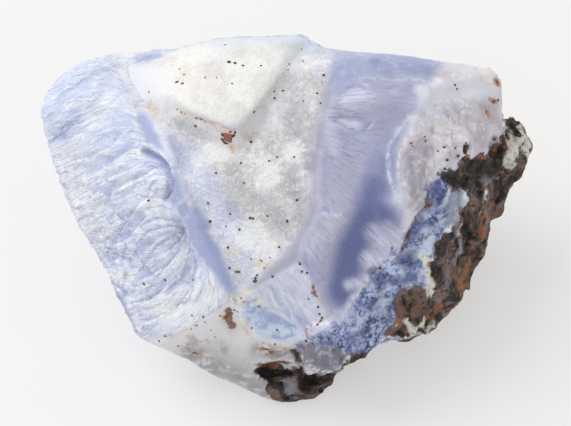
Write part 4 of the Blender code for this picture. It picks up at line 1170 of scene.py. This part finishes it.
def hidden_bands(w, colours):
    """The lace bands of the sides that the photograph doesn't show."""
    along = w.times(w.vector("DOT_PRODUCT", w.place, LACE_WAY, "Value"), 1 / MM)
    row = w.add("ShaderNodeCombineXYZ", {0: w.plus(along, w.times(w.clouds, 5.0))}).outputs[0]
    bands = w.drawn(row, BAND_WIDTH, 1, 3, 0.6)
    return w.coats(
        w.mix(w.step(bands, 0.42, 0.58), colours.back_blue, colours.back_white),
        (w.step(w.grains, 0.55, 0.75, 0.5), colours.druse_white),
    )


def lobe_agate(w, colours):
    return w.coats(
        w.mix(w.step(w.ragged, 0.46, 0.64, 0.45), colours.lobe, colours.left_blue),
        (w.step(w.grit, 0.42, 0.32, 0.5), colours.crust_grey),
    )


def with_zones(w, colours, druse):
    """The left face with the other zones of the front laid over it."""
    # The lip band, the stone's blue with painted shade
    lip = w.mix(w.step(w.ragged, 0.50, 0.68, 0.35), colours.lip, colours.left_pale)
    top = w.mix(w.step(w.ragged, 0.52, 0.66, 0.4), colours.top_blue, colours.lavender_pale)
    lace = w.mix(w.step(w.ragged, 0.43, 0.58, 0.85), colours.lace_blue, colours.sky)
    return w.coats(
        left_face(w, colours),
        (w.zone("lip", 0.45, 0.4), lip),
        (w.zone("druse", 0.7, 0.6), druse),
        (w.zone("bevel", 0.8, 0.4), colours.bevel),
        (w.zone("crown", 1.2, 0.4), white_crown(w, colours)),
        (w.zone("lavender", 0.6, 0.3), shell_face(w, colours)),
        (w.zone("top", 0.7, 0.5), top),
        (w.zone("grey", 0.9, 0.6), grey_agate(w, colours)),
        (w.zone("lower", 0.3, 0.3), silky_lower_face(w, colours)),
        (w.zone("lace", 0.2, 0.4), lace),
        (w.zone("blue", 0.25, 0.8), blue_granules(w, colours)),
        (w.zone("foot", 0.5, 0.5), grey_foot(w, colours)),
    )


def with_marks(w, colours, paint, druse):
    """The front's paint with its pale, deep, stained and cloudy marks, some of them painted shade and light, and
    the painted shade and highlight of its small cliffs.
    """
    # Deep marks: the clear deep blue on the shell-shaped face, and painted shade in the lip band's colour elsewhere
    deep = w.mix(w.zone("lavender", 0.6), colours.lip, colours.lavender_deep)
    depth = w.attribute("deep")
    brushed = w.plus(depth, w.swing(w.strokes, 0.5), w.swing(w.haze, 0.35))
    brushed = w.times(w.step(brushed, 0.0, 0.95), w.step(depth, 0.0, 0.3))
    pale = w.mix(w.zone("druse"), w.mix(w.left, colours.lavender_pale, colours.druse_white), druse)
    paint = w.coats(
        paint,
        # Milky places, and painted light along the top of the foot
        (w.tint("milk", 0.9, w.haze, 0.24, 0.50), colours.milk),
        (brushed, deep),
        (w.tint("pale", 0.85, w.hairs), pale),
        # Smoky marks, and on the foot painted shade in the foot's dark grey
        (w.tint("smoke", 0.95, w.ragged), w.mix(w.zone("foot"), colours.smoke, colours.foot_dark)),
        # Painted shade at the foot of the small cliffs and painted highlight on their rim
        (w.times(w.attribute("ledge_foot"), 0.9), colours.crease),
        (w.times(w.attribute("ledge_rim"), 0.45), colours.druse_white),
    )
    stained = w.mix(1.0, paint, colours.stain, "MULTIPLY")
    paint = w.mix(w.tint("stain", 0.9, w.ragged, 0.36, 0.58), paint, stained)
    return w.coats(
        w.mix(w.mark("navy", 0.3, 1.4), paint, w.mix(0.35, colours.blue_dark, paint)),
        (w.tint("sky", 1.0, w.ragged, 0.34, 0.54), colours.sky),
        (w.tint("cream", 0.9, w.ragged, 0.34, 0.54), colours.cream),
    )


def with_crust(w, colours, paint):
    """The paint with the crust and its marks, the lobe, and last the thin lines of painted shade and highlight."""
    dark = w.mix(w.step(w.grit, 0.48, 0.66, 0.55), colours.crust_dark, colours.crust_brown)
    brown = w.mix(w.step(w.grit, 0.50, 0.36, 0.8), colours.crust_brown, colours.crust_dark)
    rusty = w.mix(w.step(w.grit, 0.50, 0.36, 0.8), colours.rust, colours.crust_brown)
    chalk = w.mix(w.step(w.grit, 0.52, 0.36, 0.7), colours.cream, colours.smoke)
    film = w.mix(w.step(w.grit, 0.50, 0.36, 0.6), colours.crust_grey, colours.crust_brown)
    paint = w.coats(
        paint,
        (w.zone("crust", 0.15, 1.6), matrix_crust(w, colours)),
        (w.times(w.mark("film"), 0.8), film),
        (w.times(w.mark("chalk"), 0.95), chalk),
        (w.times(w.mark("brown"), 0.9), brown),
        # Dark crust, and painted shade below the lobe and under the rim
        (w.times(w.mark("dark"), 0.95), dark),
        (w.times(w.mark("rusty"), 0.7), rusty),
        (w.zone("lobe", 0.3, 0.3), lobe_agate(w, colours)),
    )
    # Painted shade along the creases
    crease_shaded = w.mix(0.8, paint, colours.furrow_shade)
    paint = w.mix(w.tint("crease", 0.85, w.grit, 0.36, 0.52), paint, crease_shaded)
    # Painted highlights along ridges and rims, and a few pale veins
    return w.mix(w.tint("gleam", 0.85, w.grit, 0.42, 0.57), paint, colours.druse_white)


def stone_roughness(w):
    silky = w.most(w.left, w.zone("lavender"), w.zone("lower"))
    return w.plus(
        w.step(w.grains, 0.3, 0.7, 0.18),
        0.34,
        w.times(w.zone("crust"), 0.3),
        w.times(silky, -0.13),
        w.times(w.zone("druse"), 0.12),
    )


def stone_grain(w):
    """Height of the grain that is too fine for the mesh: sugar, streaks, grit and creases."""
    sugary = w.most(w.times(w.most(w.zone("druse", 0.6), w.zone("crown", 0.6)), 0.55), w.zone("blue"))
    gritty = w.most(w.zone("crust"), w.mark("dark"), w.mark("brown"))
    return w.plus(
        w.times(w.flecks, sugary),
        w.times(w.noise(0.2, 3), 0.2),
        w.times(w.hairs, w.plus(w.times(w.left, 0.8), 0.25)),
        w.times(w.ragged, w.plus(w.times(w.left, 0.5), 0.3)),
        w.times(w.grit, w.times(gritty, 2.2)),
        w.times(w.step(w.chips, 0.44, 0.56), w.times(w.left, 0.35)),
        w.times(w.most(w.creases, w.attribute("crease")), -0.45),
    )


def stone_material(colours):
    """The agate's finish: each zone's colours and grain, the marks on them, with painted shade and highlights among
    them, and the banded hidden sides.
    """
    w = StoneWiring("lace_agate")
    druse = sugary_druse(w, colours)
    front = with_marks(w, colours, with_zones(w, colours, druse), druse)
    paint = w.mix(w.attribute("facing"), hidden_bands(w, colours), front)
    w.set_shader(
        Base_Color=with_crust(w, colours, paint),
        Roughness=stone_roughness(w),
        IOR=QUARTZ_IOR,
        Subsurface_Weight=SCATTER_SHARE,
        Subsurface_Radius=SCATTER_COLOURS,
        Subsurface_Scale=SCATTER_DEPTH,
        Normal=w.bump(stone_grain(w), FINE_BUMP),
    )
    return w.material


def grain_material(name, main, other, rough):
    """Finish of the small grains: two mottled colours and a fine grit."""
    w = Wiring(name)
    mottle = w.noise(0.18, 3, 0.6)
    w.set_shader(
        Base_Color=w.mix(w.step(mottle, 0.4, 0.62), main, other),
        Roughness=w.plus(w.times(mottle, 0.2), rough),
        Normal=w.bump(w.noise(0.09, 2), 0.03),
    )
    return w.material


def camera_place():
    return face_frame() @ Vector((0, 0, CAMERA_DISTANCE))


def stone_tree():
    """The stone's surface, for finding what lies behind a pixel."""
    return BVHTree.FromObject(bpy.data.objects[SURFACE], bpy.context.evaluated_depsgraph_get())


def on_stone(tree, x, y):
    """Where the photograph's pixel lies on the stone, and the way the stone faces there."""
    eye = camera_place()
    target = face_frame() @ Vector(((x - PHOTO_MIDDLE[0]) * PIXEL, (PHOTO_MIDDLE[1] - y) * PIXEL, 0))
    place, normal, _, _ = tree.ray_cast(eye, (target - eye).normalized())
    if place is None:
        raise RuntimeError(f"no stone lies behind the pixel {x}, {y}")
    return place, normal


def lie_along(normal, turn):
    """The way that lies on the stone and is turned this far on the photograph."""
    right = face_frame().to_3x3() @ Vector((math.cos(turn), math.sin(turn), 0))
    return (right - normal * right.dot(normal)).normalized()


def lay_grain(bm, tree, grain, stand):
    """One uneven grain, half sunk in the stone, its long side turned as the photograph shows."""
    x, y, size, *others = grain
    stretch, turn = (*others, *ROUND_GRAIN[len(others) :])
    place, normal = on_stone(tree, x, y)
    made = bmesh.ops.create_icosphere(bm, subdivisions=2, radius=1.0)["verts"]
    long_way = lie_along(normal, math.radians(turn))
    half = size / 2 * PIXEL * MM
    wide = half / stretch
    thick = wide * GRAIN_THICKNESS
    stood = Matrix((long_way * half, normal.cross(long_way) * wide, normal * thick)).transposed().to_4x4()
    stood.translation = place + normal * thick * (2 * stand - 1)
    for vert in made:
        vert.co *= 1 + GRAIN_UNEVEN * noise.noise(vert.co * GRAIN_LUMPS + Vector((x, y, 0)))
    bmesh.ops.transform(bm, matrix=stood, verts=made)


def add_piece(bm, name, material):
    """Makes the finished shape a piece that rides on the stone."""
    mesh = bpy.data.meshes.new(name)
    bm.to_mesh(mesh)
    bm.free()
    mesh.materials.append(material)
    piece = link(mesh, name)
    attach(piece, "root")


def grains_piece(name, grains, material, stand):
    """All the grains of one kind, as one piece."""
    tree = stone_tree()
    bm = bmesh.new()
    for grain in grains:
        lay_grain(bm, tree, grain, stand)
    for face in bm.faces:
        face.smooth = True
    add_piece(bm, name, material)


def chip_piece(shape, material):
    """A thin splinter of rusty crust that is stuck in the sugary quartz."""
    place, normal = on_stone(stone_tree(), *CHIP_PLACE)
    along = lie_along(normal, CHIP_TURN)
    bm = bmesh.new()
    bmesh.ops.create_cube(bm, size=1.0)
    bmesh.ops.bevel(
        bm, geom=bm.edges[:], offset=CHIP_BEVEL, segments=2, profile=0.5, affect="EDGES", material=-1,
        clamp_overlap=True,
    )
    bmesh.ops.subdivide_edges(bm, edges=bm.edges[:], cuts=2, use_grid_fill=True)
    for vert in bm.verts:
        vert.co *= 1 + CHIP_UNEVEN * noise.noise(vert.co * CHIP_LUMPS)
    axes = (along * shape.chip_width, normal.cross(along) * shape.chip_height, normal * shape.chip_thickness)
    stood = Matrix(axes).transposed().to_4x4()
    stood.translation = place
    bmesh.ops.transform(bm, matrix=stood, verts=bm.verts)
    bmesh.ops.recalc_face_normals(bm, faces=bm.faces)
    add_piece(bm, "rust_chip", material)


def add_floor(settings):
    bm = bmesh.new()
    bmesh.ops.create_grid(bm, x_segments=8, y_segments=8, size=FLOOR_HALF)
    mesh = bpy.data.meshes.new("floor")
    bm.to_mesh(mesh)
    bm.free()
    w = Wiring("pale_floor")
    w.set_shader(
        Base_Color=w.mix(w.noise(9.0, 4, 0.6), [c * FLOOR_MOTTLE for c in settings.floor], settings.floor),
        Roughness=FLOOR_ROUGHNESS,
        Emission_Color=FLOOR_GLOW,
        Emission_Strength=settings.glow,
    )
    mesh.materials.append(w.material)
    link(mesh, "floor")


def add_light(scene, settings):
    world = bpy.data.worlds.new("studio")
    world.use_nodes = True
    world.node_tree.nodes["Background"].inputs["Color"].default_value = (1, 1, 1, 1)
    world.node_tree.nodes["Background"].inputs["Strength"].default_value = settings.fill
    scene.world = world
    lamp = bpy.data.lights.new("window", "AREA")
    lamp.energy = settings.key_power
    lamp.size = settings.key_size
    window = link(lamp, "window")
    window.location = WINDOW_PLACE
    aim = face_frame() @ Vector() - window.location
    window.rotation_euler = aim.to_track_quat("-Z", "Y").to_euler()


def add_camera(scene, settings):
    view = bpy.data.cameras.new("camera")
    view.lens = settings.lens
    view.clip_start = NEAREST_SEEN
    camera = link(view, "camera")
    camera.location = camera_place()
    camera.rotation_euler = (FACE_TIP, 0, 0)
    scene.camera = camera
    scene.view_settings.view_transform = "Standard"


class AGATE_OT_stage(bpy.types.Operator):
    """Adds the pale floor, the soft light and the camera"""

    bl_idname = "agate.stage"
    bl_label = "Add the stage"

    def execute(self, context):
        settings = context.scene.agate_stage
        add_floor(settings)
        add_light(context.scene, settings)
        add_camera(context.scene, settings)
        return {"FINISHED"}


class AGATE_OT_stone(bpy.types.Operator):
    """Adds the stone's natural surface in place of the plain solid"""

    bl_idname = "agate.stone"
    bl_label = "Add the stone"

    def execute(self, context):
        mesh = even_mesh(context.scene.agate_shape)
        carve(mesh, context.scene.agate_shape)
        mesh.name = SURFACE
        mesh.materials.clear()
        mesh.materials.append(stone_material(context.scene.agate_colours))
        stone = link(mesh, SURFACE)
        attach(stone, "root")
        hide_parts(NODE)
        return {"FINISHED"}


class AGATE_OT_grains(bpy.types.Operator):
    """Adds the dark and the rusty grains that sit on the stone, and the splinter"""

    bl_idname = "agate.grains"
    bl_label = "Add the grains"

    def execute(self, context):
        if SURFACE not in bpy.data.objects:
            raise RuntimeError("add the stone before its grains")
        colours = context.scene.agate_colours
        shape = context.scene.agate_shape
        dark = grain_material("dark_grain", colours.crust_dark, colours.crust_brown, 0.35)
        grains_piece("dark_specks", SPECKS, dark, shape.speck_stand)
        rust = grain_material("rust_grain", colours.crust_rust, colours.crust_brown, 0.6)
        grains_piece("rust_grains", RUST_GRAINS, rust, shape.speck_stand)
        chip = grain_material("rust_chip", colours.chip, colours.crust_brown, 0.6)
        chip_piece(shape, chip)
        return {"FINISHED"}


class AGATE_PT_sidebar(bpy.types.Panel):
    """Lists the agate's pieces and settings"""

    bl_idname = "AGATE_PT_sidebar"
    bl_label = "Blue lace agate"
    bl_space_type = "VIEW_3D"
    bl_region_type = "UI"
    bl_category = "Agate"

    def draw(self, context):
        for operator in OPERATORS:
            self.layout.operator(operator.bl_idname)
        for name in SETTINGS:
            settings = getattr(context.scene, name)
            box = self.layout.box()
            for key in settings.__annotations__:
                box.prop(settings, key)


OPERATORS = (AGATE_OT_stage, AGATE_OT_stone, AGATE_OT_grains)
SETTINGS = {"agate_shape": AgateShape, "agate_colours": AgateColours, "agate_stage": AgateStage}
CLASSES = (*SETTINGS.values(), *OPERATORS, AGATE_PT_sidebar)


def register():
    for cls in CLASSES:
        bpy.utils.register_class(cls)
    for name, group in SETTINGS.items():
        setattr(bpy.types.Scene, name, bpy.props.PointerProperty(type=group))


def unregister():
    for name in SETTINGS:
        delattr(bpy.types.Scene, name)
    for cls in reversed(CLASSES):
        bpy.utils.unregister_class(cls)


def main():
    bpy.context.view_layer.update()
    register()
    bpy.ops.agate.stage()
    bpy.ops.agate.stone()
    bpy.ops.agate.grains()
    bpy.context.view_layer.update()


if __name__ == "__main__":
    main()
